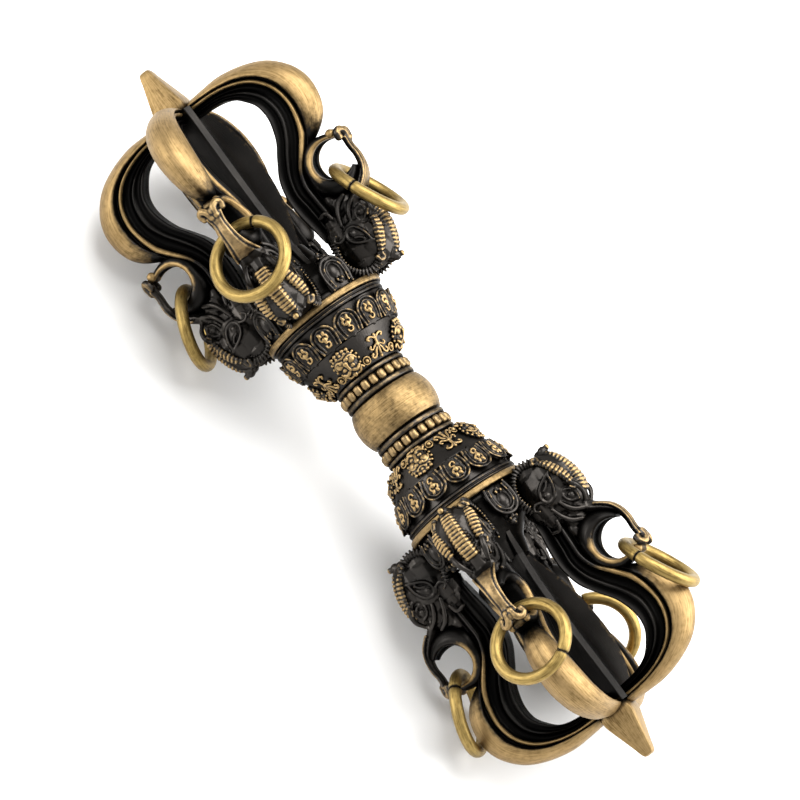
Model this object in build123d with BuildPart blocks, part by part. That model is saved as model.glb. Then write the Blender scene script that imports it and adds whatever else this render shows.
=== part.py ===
"""Five-pronged dorje vajra with lion masks, lotus bands, makara heads and eight loose rings.

Millimetres. The origin is the centre of the grip globe, X runs along the axis, Z is up.
The vajra lies level, with two of the four outer prongs of each end above and two below.
In the comments, s is the distance from the globe's centre along the axis, r is the distance
from the axis, and w is the sideways distance from the plane of one prong.
"""
from build123d import *
from math import cos, radians, sin
import os

os.makedirs("parts", exist_ok=True)

# Overall sizes
tip_reach = 80.0
prong_reach = 24.8
prong_count = 4
first_prong_angle = 45.0
quarter = 360 / prong_count
END_SIGNS = {"left": -1, "right": 1}
PRONG_NAMES = ["top_back", "top_front", "bottom_front", "bottom_back"]

# Clearances
fit_gap = 0.04

# Through rod
rod_radius = 1.5
rod_grip_length = 4.0

# Grip globe
globe_radius = 8.4
globe_half_length = 4.0
globe_end_radius = 6.9

# Bead collar
collar_radius = 7.4
inner_disc_width = 1.4
bead_seat_width = 2.1
outer_disc_width = 1.2
bead_core_radius = 6.5
bead_radius = 1.0
bead_circle_radius = 6.95
bead_count = 24

# Mask band
mask_band_length = 6.2
mask_band_small_radius = 7.2
mask_band_large_radius = 10.7
mask_width = 4.8
mask_length = 5.8
mask_relief = 0.9
scroll_width = 3.4
scroll_length = 4.2
scroll_relief = 0.5
relief_corner = 1.3
pearl_radius = 0.65
pearl_lead = 1.65

# Lotus band
lotus_length = 5.3
lotus_small_radius = 10.9
lotus_large_radius = 12.1
petal_count = 14
petal_half_width = 2.45
petal_groove_depth = 0.7
lotus_flange_length = 1.6
lotus_flange_radius = 12.0

# Rim ring
rim_length = 1.4
rim_radius = 12.6
rim_edge = 0.28

# Hub
hub_length = 12.8
head_seat = 9.0
leaf_seat = 10.2
hub_root_radius = 11.6
hub_end_radius = 8.2

# Corner leaves
leaf_half_width = 2.8
leaf_length = 6.4
leaf_thickness = 1.5
leaf_start_gap = 0.3

# Makara heads
head_half_width = 4.4
ridge_half_width = 1.25
ridge_height = 0.8
horn_offset = 4.5
horn_half_width = 0.9
ear_radius = 2.6
ear_half_width = 5.6
knob_radius = 1.1
peg_radius = 1.2
peg_length = 2.0
mouth_gap = 0.6
head_back_gap = 0.3
peg_lead = 4.8
crest_drop = 2.9

# Hook of trunk and curl, around the ring's hole
hook_lead = 7.8
hook_drop = 5.3
hole_radius = 3.9
curl_thickness = 1.15
curl_half_width = 2.4
curl_start_angle = 225.0
curl_floor_angle = 270.0
curl_end_angle = 33.0
curl_knob_radius = 1.0
trunk_thickness = 1.1
trunk_root_half_width = 3.0
trunk_neck_half_width = 1.7
trunk_waist_half_width = 1.3
trunk_waist_lead = 1.2
trunk_fork_half_width = 2.4
trunk_fork_lead = 1.65
trunk_lobe_half_width = 2.7
trunk_overlap = 3.8
trunk_arc_angle = 135.0
trunk_root_angle = 195.0

# Outer prongs
prong_core_half_width = 2.9
prong_tip_half_width = 3.3
leaf_wall_share = 0.4
leaf_tip_depth = 2.4
prong_tip_depth = 4.0
tenon_radius = 1.4
tenon_length = 2.4
tenon_height = 0.45

# Centre prongs
blade_root_reach = 4.4
blade_edge_reach = 8.7
blade_ridge_reach = 4.6
blade_edge_flat = 0.7
blade_ridge_flat = 1.5
blade_hollow = 0.74
spike_length = 9.6
spike_base_half_width = 3.5
spike_shoulder_half_width = 3.9
spike_tip_half_width = 1.1

# Rings
ring_radius = 7.3
ring_wire_radius = 1.2
ring_cut = 1.2
ring_play = 0.8

# How the rings of an end lie, in degrees: where the wire sits in the hook, direction to the ring's centre
RING_REST = {"left": (213, 158), "right": (20, 24)}

# Relief
eye_radius = 0.9

bore_radius = rod_radius + fit_gap

# Places along the axis, counted from the globe's centre
collar_s = globe_half_length
mask_band_s = collar_s + inner_disc_width + bead_seat_width + outer_disc_width
lotus_s = mask_band_s + mask_band_length
lotus_flange_s = lotus_s + lotus_length
rim_s = lotus_flange_s + lotus_flange_length
hub_s = rim_s + rim_length
hub_end_s = hub_s + hub_length
rod_reach = hub_end_s + rod_grip_length
prong_tip_s = tip_reach - spike_length
head_back_s = hub_s + head_back_gap
peg_s = hub_s + peg_lead
mouth_s = hub_end_s + mouth_gap
crest_top = prong_reach - crest_drop
tenon_r = tenon_height * prong_reach
hook_r = prong_reach - hook_drop
hook_s = mouth_s + hook_lead
trunk_end_s = hook_s + trunk_overlap
curl_root_low = hook_r - hole_radius - 2 * curl_thickness
ridge_rise = ridge_height / (crest_top - head_seat)

# Side view of a head, in shares of its length and height
CREST = [(0, 0.64), (0.12, 0.84), (0.34, 0.95), (0.57, 1), (0.77, 0.95), (0.89, 0.84), (1, 0.81)]
HORN = [(0.07, 0.67), (0.15, 0.82), (0.34, 0.87), (0.57, 0.85), (0.65, 0.74)]
EYE = (0.72, 0.74)
EAR = (0.38, 0.45)
KNOB = (-0.05, 0.71)
RIDGE_FOOT = (0.6, 0.5)

# Side view of the hook: heights at the mouth and back of the trunk, in hole radii from the hole's centre
trunk_root_low = -0.75
trunk_root_high = 0.02
curl_root_high = -1.2
TRUNK_BACK = [(-1.5, 0.8), (-0.4, 1.28)]

# Front view of a head: height above its seat and half width, in shares
HEAD_SECTION = [(0, 0.95), (0.35, 1), (0.7, 0.96), (0.92, 0.7), (1.02, 0.4)]
HEAD_FRONT = [(head_seat + v * (crest_top - head_seat), sign * half * head_half_width)
              for sign, shape in ((1, HEAD_SECTION), (-1, HEAD_SECTION[::-1])) for v, half in shape]

# Side view of a prong, in shares of its length and reach
PRONG_UPPER = [(0, 0.548), (0.101, 0.54), (0.231, 0.536), (0.337, 0.573), (0.414, 0.694), (0.491, 0.831),
               (0.633, 0.911), (0.796, 0.847), (0.917, 0.665), (0.964, 0.423)]
PRONG_LOWER = [(0.879, 0.302), (0.846, 0.427), (0.766, 0.524), (0.633, 0.565), (0.515, 0.524),
               (0.396, 0.435), (0.278, 0.339), (0.13, 0.306), (0, 0.331)]

# Crowned face of a prong: inner and outer place in the same shares, and half width
LEAF_STATIONS = [
    ((0.444, 0.653), (0.393, 0.694), 2.4),
    ((0.482, 0.71), (0.429, 0.843), 2.9),
    ((0.544, 0.75), (0.503, 0.952), 3.5),
    ((0.633, 0.778), (0.633, 1), 4.0),
    ((0.734, 0.758), (0.775, 0.964), 4.2),
    ((0.822, 0.681), (0.899, 0.831), 4.1),
    ((0.888, 0.548), (0.982, 0.621), 3.8),
    ((0.923, 0.379), (1.006, 0.403), 3.5),
]

# Outline of a blade: share of its length, reach of its edges and of its ridges in shares
BLADE_OUTLINE = [
    (0.32, 0.87, 1.0),
    (0.66, 1.0, 1.0),
    (0.88, 0.79, 1.04),
]


def axis_plane(end, s):
    """Plane square to the axis at s, facing the tip."""
    return Plane(origin=(end * s, 0, 0), x_dir=(0, 1, 0), z_dir=(end, 0, 0))


def front_plane(end, angle, s):
    """Plane square to the axis at s, its x outwards along one prong."""
    return Plane(origin=(end * s, 0, 0), x_dir=outward(angle), z_dir=(end, 0, 0))


def side_plane(end, angle, w=0):
    """Plane of one prong: x along the axis to the tip, y outwards."""
    side = sideways(end, angle)
    return Plane(origin=side * w, x_dir=(end, 0, 0), z_dir=side)


def top_plane(end, angle, r):
    """Plane over one prong, facing outwards: x along the axis to the tip."""
    return Plane(origin=outward(angle) * r, x_dir=(end, 0, 0), z_dir=outward(angle))


def slope_plane(end, angle, start, stop):
    """Plane along a cone, from start to stop (s, r): origin halfway, facing outwards."""
    along = Vector(end, 0, 0)
    out = outward(angle)
    ds = stop[0] - start[0]
    dr = stop[1] - start[1]
    middle = along * (start[0] + ds / 2) + out * (start[1] + dr / 2)
    return Plane(origin=middle, x_dir=along * ds + out * dr, z_dir=out * ds - along * dr)


def outward(angle):
    return Vector(0, cos(radians(angle)), sin(radians(angle)))


def sideways(end, angle):
    return Vector(0, -sin(radians(angle)), cos(radians(angle))) * end


def place(end, angle, s, r, w=0):
    """Point in space for a place given by s, r and w beside one prong."""
    return Vector(end * s, 0, 0) + outward(angle) * r + sideways(end, angle) * w


def turned(end, outline):
    """Solid turned about the axis from an outline of (s, r) points."""
    with BuildPart() as ring:
        with BuildSketch(side_plane(end, 0)):
            with BuildLine():
                Polyline(*outline, close=True)
            make_face()
        revolve(axis=Axis.X)
    return ring.part


def petal(start, stop, half_width):
    """Face of a petal: straight sides and a rounded end."""
    shoulder = stop - half_width
    with BuildSketch() as shape:
        with BuildLine():
            Polyline(
                (shoulder, half_width), (start, half_width), (start, -half_width), (shoulder, -half_width)
            )
            ThreePointArc((shoulder, -half_width), (stop, 0), (shoulder, half_width))
        make_face()
    return shape.sketch_local


def save(name, part):
    part.label = name
    export_step(part, f"parts/{name}.step")


def build_core_rod():
    with BuildPart() as core_rod:
        with BuildSketch(axis_plane(1, -rod_reach)):
            Circle(rod_radius)
        extrude(amount=2 * rod_reach)
    save("core_rod", core_rod.part)


def build_grip_globe():
    with BuildPart() as grip_globe:
        with BuildSketch(side_plane(1, 0)):
            with BuildLine():
                ThreePointArc(
                    (-globe_half_length, globe_end_radius),
                    (0, globe_radius),
                    (globe_half_length, globe_end_radius),
                )
                Polyline(
                    (globe_half_length, globe_end_radius),
                    (globe_half_length, bore_radius),
                    (-globe_half_length, bore_radius),
                    (-globe_half_length, globe_end_radius),
                )
            make_face()
        revolve(axis=Axis.X)
    save("grip_globe", grip_globe.part)


def build_bead_collar(side, end):
    seat_s = collar_s + inner_disc_width
    disc_s = seat_s + bead_seat_width
    outline = [
        (collar_s, bore_radius),
        (collar_s, collar_radius),
        (seat_s, collar_radius),
        (seat_s, bead_core_radius),
        (disc_s, bead_core_radius),
        (disc_s, collar_radius),
        (mask_band_s, collar_radius),
        (mask_band_s, bore_radius),
    ]
    with BuildPart() as bead_collar:
        add(turned(end, outline))
        with Locations(axis_plane(end, seat_s + bead_seat_width / 2)):
            with PolarLocations(bead_circle_radius, bead_count):
                Sphere(bead_radius)
    save(f"{side}_bead_collar", bead_collar.part)


def build_mask_band(side, end):
    """Flaring band with a lion mask below each prong and a scroll and two pearls between them."""
    small = (mask_band_s, mask_band_small_radius)
    large = (lotus_s, mask_band_large_radius)
    outline = [(mask_band_s, bore_radius), small, large, (lotus_s, bore_radius)]
    with BuildPart() as mask_band:
        add(turned(end, outline))
        for number in range(prong_count):
            angle = first_prong_angle + quarter * number
            with BuildSketch(slope_plane(end, angle, small, large).offset(-mask_relief)):
                RectangleRounded(mask_length, mask_width, relief_corner)
            extrude(amount=2 * mask_relief)
            with BuildSketch(slope_plane(end, angle + quarter / 2, small, large).offset(-scroll_relief)):
                RectangleRounded(scroll_length, scroll_width, relief_corner)
            extrude(amount=2 * scroll_relief)
            for pearl_angle in (angle - quarter / 4, angle + quarter / 4):
                with Locations(slope_plane(end, pearl_angle, small, large)):
                    with Locations((pearl_lead - mask_band_length / 2, 0)):
                        Sphere(pearl_radius)
    save(f"{side}_mask_band", mask_band.part)


def build_lotus_band(side, end):
    """Flaring band of lotus petals, with a plain flange at its wide end."""
    small = (lotus_s, lotus_small_radius)
    large = (lotus_flange_s, lotus_large_radius)
    outline = [
        (lotus_s, bore_radius),
        (lotus_s, lotus_small_radius - petal_groove_depth),
        (lotus_flange_s, lotus_large_radius - petal_groove_depth),
        (lotus_flange_s, lotus_flange_radius),
        (rim_s, lotus_flange_radius),
        (rim_s, bore_radius),
    ]
    with BuildPart() as lotus_band:
        add(turned(end, outline))
        for number in range(petal_count):
            angle = first_prong_angle + 360 / petal_count * number
            with BuildSketch(slope_plane(end, angle, small, large).offset(-2 * petal_groove_depth)):
                add(petal(-lotus_length / 2, lotus_length / 2, petal_half_width))
            extrude(amount=2 * petal_groove_depth)
    save(f"{side}_lotus_band", lotus_band.part)


def build_rim_ring(side, end):
    outline = [
        (rim_s, bore_radius),
        (rim_s, rim_radius - rim_edge),
        (rim_s + rim_edge, rim_radius),
        (hub_s - rim_edge, rim_radius),
        (hub_s, rim_radius - rim_edge),
        (hub_s, bore_radius),
    ]
    save(f"{side}_rim_ring", turned(end, outline))


def build_hub(side, end):
    """Eight-sided hub: four flats carry the heads, four carry the corner leaves."""
    outline = [
        (hub_s, bore_radius),
        (hub_s, hub_root_radius),
        (hub_end_s, hub_end_radius),
        (hub_end_s, bore_radius),
    ]
    with BuildPart() as hub:
        add(turned(end, outline))
        with BuildSketch(front_plane(end, first_prong_angle, hub_s)):
            Rectangle(2 * head_seat, 2 * head_seat)
        extrude(amount=hub_length, mode=Mode.INTERSECT)
        with BuildSketch(front_plane(end, first_prong_angle, hub_s)):
            Rectangle(2 * leaf_seat, 2 * leaf_seat, rotation=quarter / 2)
        extrude(amount=hub_length, mode=Mode.INTERSECT)
        for number in range(prong_count):
            angle = first_prong_angle + quarter * number
            with BuildSketch(top_plane(end, angle, head_seat)):
                with Locations((peg_s, 0)):
                    Circle(peg_radius + fit_gap)
            extrude(amount=-peg_length - fit_gap, mode=Mode.SUBTRACT)
    save(f"{side}_hub", hub.part)


def build_corner_leaves(side, end):
    """Four upright petals, one on the hub between each pair of heads."""
    start = hub_s + leaf_start_gap
    with BuildPart() as corner_leaves:
        for number in range(prong_count):
            angle = first_prong_angle + quarter * (number + 0.5)
            with BuildSketch(top_plane(end, angle, leaf_seat)):
                add(petal(start, start + leaf_length, leaf_half_width))
            extrude(amount=leaf_thickness)
    save(f"{side}_corner_leaves", corner_leaves.part)


def build_trunk(end, angle):
    """Raised trunk of a makara, the outer half of the hook: a strap with a waist and a lobe."""
    hole_top = hook_r + hole_radius
    back = hook_s - hole_radius
    root_low = hook_r + trunk_root_low * hole_radius
    root_high = hook_r + trunk_root_high * hole_radius
    with BuildPart() as trunk:
        with BuildSketch(side_plane(end, angle)):
            with BuildLine():
                Line((trunk_end_s, hole_top), (hook_s, hole_top))
                ThreePointArc((hook_s, hole_top), hole_point(trunk_arc_angle), (back, hook_r))
                Polyline(
                    (back, hook_r), hole_point(trunk_root_angle), (mouth_s, root_low), (mouth_s, root_high)
                )
                Spline(
                    (mouth_s, root_high),
                    *[(hook_s + u * hole_radius, hook_r + v * hole_radius) for u, v in TRUNK_BACK],
                    (trunk_end_s - trunk_thickness, hole_top + trunk_thickness),
                    (trunk_end_s, hole_top),
                )
            make_face()
        extrude(amount=trunk_root_half_width, both=True)
        with BuildSketch(top_plane(end, angle, 0)):
            with BuildLine():
                for half in (-1, 1):
                    Spline(
                        (mouth_s, half * trunk_root_half_width),
                        (back, half * trunk_neck_half_width),
                        (hook_s - trunk_waist_lead, half * trunk_waist_half_width),
                        (trunk_end_s - trunk_fork_lead, half * trunk_fork_half_width),
                        (trunk_end_s, half * trunk_lobe_half_width),
                    )
                Line((mouth_s, -trunk_root_half_width), (mouth_s, trunk_root_half_width))
                Line((trunk_end_s, -trunk_lobe_half_width), (trunk_end_s, trunk_lobe_half_width))
            make_face()
        extrude(amount=prong_reach + trunk_thickness, mode=Mode.INTERSECT)
    return trunk.part


def hole_point(angle, extra=0):
    """Point on the hook's hole, or a little outside it, in one prong's plane."""
    radius = hole_radius + extra
    return (hook_s + radius * cos(radians(angle)), hook_r + radius * sin(radians(angle)))


def head_point(u, v):
    """Point of a head's side view: u from its back to its mouth, v from its seat to its crest."""
    return (head_back_s + u * (mouth_s - head_back_s), head_seat + v * (crest_top - head_seat))


def build_head(name, end, angle):
    """Makara head, with its ridge, horns, ears, eyes and raised trunk."""
    trunk = build_trunk(end, angle)
    with BuildPart() as head:
        with BuildSketch(side_plane(end, angle)):
            with BuildLine():
                Spline(*[head_point(u, v) for u, v in CREST])
                Polyline(head_point(*CREST[-1]), head_point(1, 0), head_point(0, 0), head_point(*CREST[0]))
            make_face()
        extrude(amount=head_half_width, both=True)
        with BuildSketch(front_plane(end, angle, 0)):
            with BuildLine():
                Polyline(*HEAD_FRONT, close=True)
            make_face()
        extrude(amount=tip_reach, mode=Mode.INTERSECT)
        with BuildSketch(side_plane(end, angle)):
            with BuildLine():
                ridge = [head_point(*KNOB)] + [head_point(u, v + ridge_rise) for u, v in CREST[1:-2]]
                Spline(*ridge)
                Polyline(ridge[-1], head_point(*RIDGE_FOOT), ridge[0])
            make_face()
        extrude(amount=ridge_half_width, both=True)
        for w in (-horn_offset, horn_offset):
            with BuildSketch(side_plane(end, angle, w)):
                with BuildLine():
                    Spline(*[head_point(u, v) for u, v in HORN])
                    Line(head_point(*HORN[-1]), head_point(*HORN[0]))
                make_face()
            extrude(amount=horn_half_width, both=True)
            with Locations(side_plane(end, angle, w * head_half_width / horn_offset)):
                with Locations(head_point(*EYE)):
                    Sphere(eye_radius)
        with BuildSketch(side_plane(end, angle)):
            with Locations(head_point(*EAR)):
                Circle(ear_radius)
        extrude(amount=ear_half_width, both=True)
        with Locations(side_plane(end, angle)):
            with Locations(head_point(*KNOB)):
                Sphere(knob_radius)
        add(trunk)
        with BuildSketch(top_plane(end, angle, head_seat)):
            with Locations((peg_s, 0)):
                Circle(peg_radius)
        extrude(amount=-peg_length)
        with BuildSketch(front_plane(end, angle, mouth_s)):
            with Locations((tenon_r, 0)):
                Circle(tenon_radius + fit_gap)
        extrude(amount=-tenon_length - fit_gap, mode=Mode.SUBTRACT)
    save(name, head.part)


def prong_point(u, v):
    """Point of a prong's side view: u from the mouth to the tip, v in shares of the reach."""
    return (mouth_s + u * (prong_tip_s - mouth_s), v * prong_reach)


def build_leaf_face(end, angle):
    """Crowned outer face of a prong, from the hook over the bulge to the spike."""
    stations = [(prong_point(*inner), prong_point(*outer), half) for inner, outer, half in LEAF_STATIONS]
    last_inner = (prong_tip_s - leaf_tip_depth, spike_base_half_width)
    stations.append((last_inner, (prong_tip_s, spike_base_half_width), prong_tip_half_width))
    with BuildPart() as face:
        for inner, outer, half in stations:
            start = place(end, angle, *inner)
            out = place(end, angle, *outer) - start
            with BuildSketch(Plane(origin=start, x_dir=out, z_dir=out.cross(sideways(end, angle)))):
                wall = out.length * leaf_wall_share
                with BuildLine():
                    Polyline((wall, half), (0, half), (0, -half), (wall, -half))
                    ThreePointArc((wall, -half), (out.length, 0), (wall, half))
                make_face()
        loft()
    return face.part


def build_prong(name, end, angle):
    """Outer prong with the curl that closes the hook and a tenon that enters the makara's mouth."""
    leaf_face = build_leaf_face(end, angle)
    with BuildPart() as prong:
        with BuildSketch(side_plane(end, angle)):
            with BuildLine():
                upper = [prong_point(u, v) for u, v in PRONG_UPPER]
                lower = [prong_point(u, v) for u, v in PRONG_LOWER]
                tip_inner = (prong_tip_s - prong_tip_depth, spike_base_half_width)
                tip_outer = (prong_tip_s - leaf_tip_depth / 2, spike_base_half_width)
                Spline(*upper, tip_outer)
                Line(tip_outer, tip_inner)
                Spline(tip_inner, *lower)
                Line(lower[-1], upper[0])
            make_face()
        extrude(amount=prong_core_half_width, both=True)
        add(leaf_face)
        with BuildSketch(side_plane(end, angle)):
            with BuildLine():
                floor = (hook_s, hook_r - hole_radius)
                root_high = hook_r + curl_root_high * hole_radius
                Polyline(floor, (hook_s, curl_root_low), (mouth_s, curl_root_low), (mouth_s, root_high),
                         hole_point(curl_start_angle))
                descent = hole_point((curl_start_angle + curl_floor_angle) / 2)
                ThreePointArc(hole_point(curl_start_angle), descent, floor)
            make_face()
            with BuildLine():
                middle = (curl_floor_angle + 360 + curl_end_angle) / 2
                Line(floor, (hook_s, hook_r - hole_radius - curl_thickness))
                ThreePointArc(
                    hole_point(curl_floor_angle, curl_thickness),
                    hole_point(middle, curl_thickness),
                    hole_point(curl_end_angle, curl_thickness),
                )
                Line(hole_point(curl_end_angle, curl_thickness), hole_point(curl_end_angle))
                ThreePointArc(hole_point(curl_end_angle), hole_point(middle), floor)
            make_face()
            with Locations(hole_point(curl_end_angle, curl_knob_radius)):
                Circle(curl_knob_radius)
        extrude(amount=curl_half_width, both=True)
        with BuildSketch(front_plane(end, angle, mouth_s)):
            with Locations((tenon_r, 0)):
                Circle(tenon_radius)
        extrude(amount=-tenon_length)
    save(name, prong.part)


def blade_section(s, edge_reach, ridge_reach, end):
    """Spear section: thin edges front and back, a flat ridge above and below, hollow faces."""
    flat = blade_edge_flat / 2
    ridge_flat = blade_ridge_flat / 2
    with BuildSketch(axis_plane(end, s)) as section:
        with BuildLine():
            for x_sign, y_sign in ((1, 1), (-1, 1), (-1, -1), (1, -1)):
                edge = Vector(x_sign * edge_reach, y_sign * flat)
                ridge = Vector(x_sign * ridge_flat, y_sign * ridge_reach)
                ThreePointArc(edge, (edge + ridge) * (blade_hollow / 2), ridge)
                if y_sign > 0:
                    Line(edge, (edge.X, -edge.Y))
                if x_sign > 0:
                    Line(ridge, (-ridge.X, ridge.Y))
        make_face()
    return section.sketch


def build_centre_prong(side, end):
    """Centre prong: hollow-ground dark spear blade, square base block and brass spike."""
    blade_end_s = prong_tip_s - leaf_tip_depth
    end_reach = spike_base_half_width / cos(radians(quarter / 2))
    with BuildPart() as centre_prong:
        sections = [blade_section(hub_end_s, blade_root_reach, blade_root_reach, end)]
        for share, edge, ridge in BLADE_OUTLINE:
            s = hub_end_s + share * (blade_end_s - hub_end_s)
            sections.append(blade_section(s, edge * blade_edge_reach, ridge * blade_ridge_reach, end))
        sections.append(blade_section(blade_end_s, end_reach, end_reach, end))
        loft(sections)
        with BuildSketch(front_plane(end, first_prong_angle, prong_tip_s - prong_tip_depth)):
            Rectangle(2 * spike_base_half_width, 2 * spike_base_half_width)
        extrude(amount=prong_tip_depth)
        with BuildSketch(front_plane(end, first_prong_angle, prong_tip_s)):
            Rectangle(2 * spike_shoulder_half_width, 2 * spike_shoulder_half_width)
        with BuildSketch(front_plane(end, first_prong_angle, tip_reach)):
            Rectangle(2 * spike_tip_half_width, 2 * spike_tip_half_width)
        loft()
        with BuildSketch(axis_plane(end, hub_end_s)):
            Circle(bore_radius)
        extrude(amount=rod_reach - hub_end_s + fit_gap, mode=Mode.SUBTRACT)
    save(f"{side}_centre_prong", centre_prong.part)


def build_ring(name, end, angle, seat_angle, lean_angle):
    """Loose ring of round wire, cut once, lying in the hook of one prong."""
    seat = hole_point(seat_angle, -ring_play - ring_wire_radius)
    lean = (cos(radians(lean_angle)), sin(radians(lean_angle)))
    centre = place(end, angle, seat[0] + ring_radius * lean[0], seat[1] + ring_radius * lean[1])
    side = sideways(end, angle)
    towards = place(end, angle, *lean)
    with BuildPart() as ring:
        with BuildSketch(Plane(origin=centre, x_dir=side, z_dir=towards)):
            with Locations((ring_radius, 0)):
                Circle(ring_wire_radius)
        revolve(axis=Axis(centre, side.cross(towards)), revolution_arc=360 - ring_cut)
    save(name, ring.part)


build_core_rod()
build_grip_globe()
for side, end in END_SIGNS.items():
    build_bead_collar(side, end)
    build_mask_band(side, end)
    build_lotus_band(side, end)
    build_rim_ring(side, end)
    build_hub(side, end)
    build_corner_leaves(side, end)
    build_centre_prong(side, end)
    for number, prong_name in enumerate(PRONG_NAMES):
        prong_angle = first_prong_angle + quarter * number
        build_head(f"{side}_{prong_name}_head", end, prong_angle)
        build_prong(f"{side}_{prong_name}_prong", end, prong_angle)
        build_ring(f"{side}_{prong_name}_ring", end, prong_angle, *RING_REST[side])
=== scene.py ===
"""Dorje vajra: the looks of a brushed and patinated cast brass vajra, laid over its CAD frame.

Sizes are in millimetres until a mesh is made. A piece is shaped on its own axes, x along the
vajra's axis to the tip, y sideways and z outwards, and is then stood in its place on an end.
"""

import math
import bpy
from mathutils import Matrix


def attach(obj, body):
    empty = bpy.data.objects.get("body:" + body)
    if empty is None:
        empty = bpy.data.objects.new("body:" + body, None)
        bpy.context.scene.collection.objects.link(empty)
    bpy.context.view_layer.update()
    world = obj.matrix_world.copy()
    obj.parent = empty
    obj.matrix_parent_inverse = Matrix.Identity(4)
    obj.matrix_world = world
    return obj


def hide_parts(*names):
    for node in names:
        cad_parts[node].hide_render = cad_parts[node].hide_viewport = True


bl_info = {
    "name": "Dorje Vajra",
    "version": (1, 0, 0),
    "blender": (4, 5, 0),
    "location": "View3D > Sidebar > Vajra",
    "description": "Builds the cast, chased and brushed pieces of a dorje vajra",
    "category": "Object",
}

import bpy
import numpy as np
from mathutils import Matrix, Vector
from mathutils.bvhtree import BVHTree

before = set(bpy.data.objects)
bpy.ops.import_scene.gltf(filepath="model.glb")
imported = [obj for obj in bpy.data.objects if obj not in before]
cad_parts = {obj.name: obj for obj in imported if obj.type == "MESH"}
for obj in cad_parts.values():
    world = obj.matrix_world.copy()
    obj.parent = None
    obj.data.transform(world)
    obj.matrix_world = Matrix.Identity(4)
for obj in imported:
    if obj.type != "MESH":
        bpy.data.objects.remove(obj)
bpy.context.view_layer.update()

MM = 0.001
BODY = "vajra"
ENDS = {"left": -1, "right": 1}
PRONGS = {"top_back": 45, "top_front": 135, "bottom_front": 225, "bottom_back": 315}
CORNER_ANGLES = (90, 180, 270, 360)
HOOK = (44.4, 19.5)
HOOK_RADIUS = 3.9
# Radius of the bore round the hidden rod
BORE = 1.6
GLOBE_RADIUS = 8.4
GLOBE_HALF_LENGTH = 4.0
BEADS = 24
PETALS = 14
# Share of the faces a casting keeps
KEPT_FACES = 0.55
# Side of the photograph's frame, in pixels
FRAME_SIDE = 800
# Scale of the photograph at the middle of the grip
PIXELS_PER_MM = 5.3737
# Rub of a plain patinated surface: rubbed places lie above it, and below it lies painted shade, darker than
# the patina, for hollows and recesses
FLAT_RUB = 0.12

SIZE = dict(subtype="DISTANCE", unit="LENGTH")
MATERIALS = {}


class VajraSettings(bpy.types.PropertyGroup):
    """Sizes and colours a user may change."""

    bead_length: bpy.props.FloatProperty(
        name="Bead length", description="Length of a collar bead along the axis", default=2.0 * MM, **SIZE)
    ring_gap: bpy.props.FloatProperty(
        name="Ring cut", description="Width of the cut in each loose ring", default=0.18 * MM, **SIZE)
    brass: bpy.props.StringProperty(
        name="Brass", description="Colour of the brushed brass, as an sRGB hex value", default="#8E764F")
    ring_brass: bpy.props.StringProperty(
        name="Ring brass", description="Colour of the loose rings, as an sRGB hex value", default="#8F7947")
    patina: bpy.props.StringProperty(
        name="Patina", default="#232221",
        description="Colour of the black patina on the prongs, as an sRGB hex value")
    cast_patina: bpy.props.StringProperty(
        name="Cast patina", default="#33312F",
        description="Colour of the patina on the cast work, as an sRGB hex value")
    floor: bpy.props.StringProperty(
        name="Floor", description="Colour of the floor, as an sRGB hex value", default="#F4F4F3")


def settings():
    return bpy.context.scene.vajra


# Shaping helpers

def flow(rows, count, knots=None):
    """Smooth run of count rows through the given ones. Columns after the place ride along."""
    p = np.array(rows, float)
    if knots is None:
        steps = np.linalg.norm(np.diff(p[:, :2], axis=0), axis=1)
        knots = np.r_[0, np.cumsum(np.maximum(steps, 1e-6))]
    slope = np.gradient(p, knots, axis=0)
    at = np.linspace(0, knots[-1], count)
    i = np.clip(np.searchsorted(knots, at, side="right") - 1, 0, len(knots) - 2)
    h = (knots[i + 1] - knots[i])[:, None]
    u = ((at - knots[i]) / h[:, 0])[:, None]
    return ((2 * u**3 - 3 * u**2 + 1) * p[i] + (u**3 - 2 * u**2 + u) * h * slope[i]
            + (3 * u**2 - 2 * u**3) * p[i + 1] + (u**3 - u**2) * h * slope[i + 1])


def run_lengths(points):
    """Length of the run from the first point to each point."""
    return np.r_[0, np.cumsum(np.linalg.norm(np.diff(points, axis=0), axis=1))]


def tube_faces(count, sides):
    """Faces of a tube of count rings, with a cap on each end."""
    faces = []
    for start in range(0, (count - 1) * sides, sides):
        for j in range(sides):
            a, b = start + j, start + (j + 1) % sides
            faces.append((a, b, b + sides, a + sides))
    last = (count - 1) * sides
    return faces + [tuple(range(sides))[::-1], tuple(range(last, last + sides))]


def stand(end, angle):
    """Matrix from a piece's own axes to its place on one end, outwards at that angle."""
    turn = math.radians(angle)
    out = Vector((0, math.cos(turn), math.sin(turn)))
    along = Vector((end, 0, 0))
    return Matrix((along, out.cross(along), out)).transposed().to_4x4()


def deselect():
    if bpy.context.object and bpy.context.object.mode != "OBJECT":
        bpy.ops.object.mode_set(mode="OBJECT")
    bpy.ops.object.select_all(action="DESELECT")


def pick(obj):
    deselect()
    obj.select_set(True)
    bpy.context.view_layer.objects.active = obj


def settle(obj):
    """Puts a primitive's place, turn and size into its mesh."""
    pick(obj)
    bpy.ops.object.transform_apply(location=True, rotation=True, scale=True)
    return obj


def new_piece(name, verts, faces):
    mesh = bpy.data.meshes.new(name)
    mesh.from_pydata((np.asarray(verts) * MM).tolist(), [], faces)
    obj = bpy.data.objects.new(name, mesh)
    bpy.context.collection.objects.link(obj)
    return obj


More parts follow.
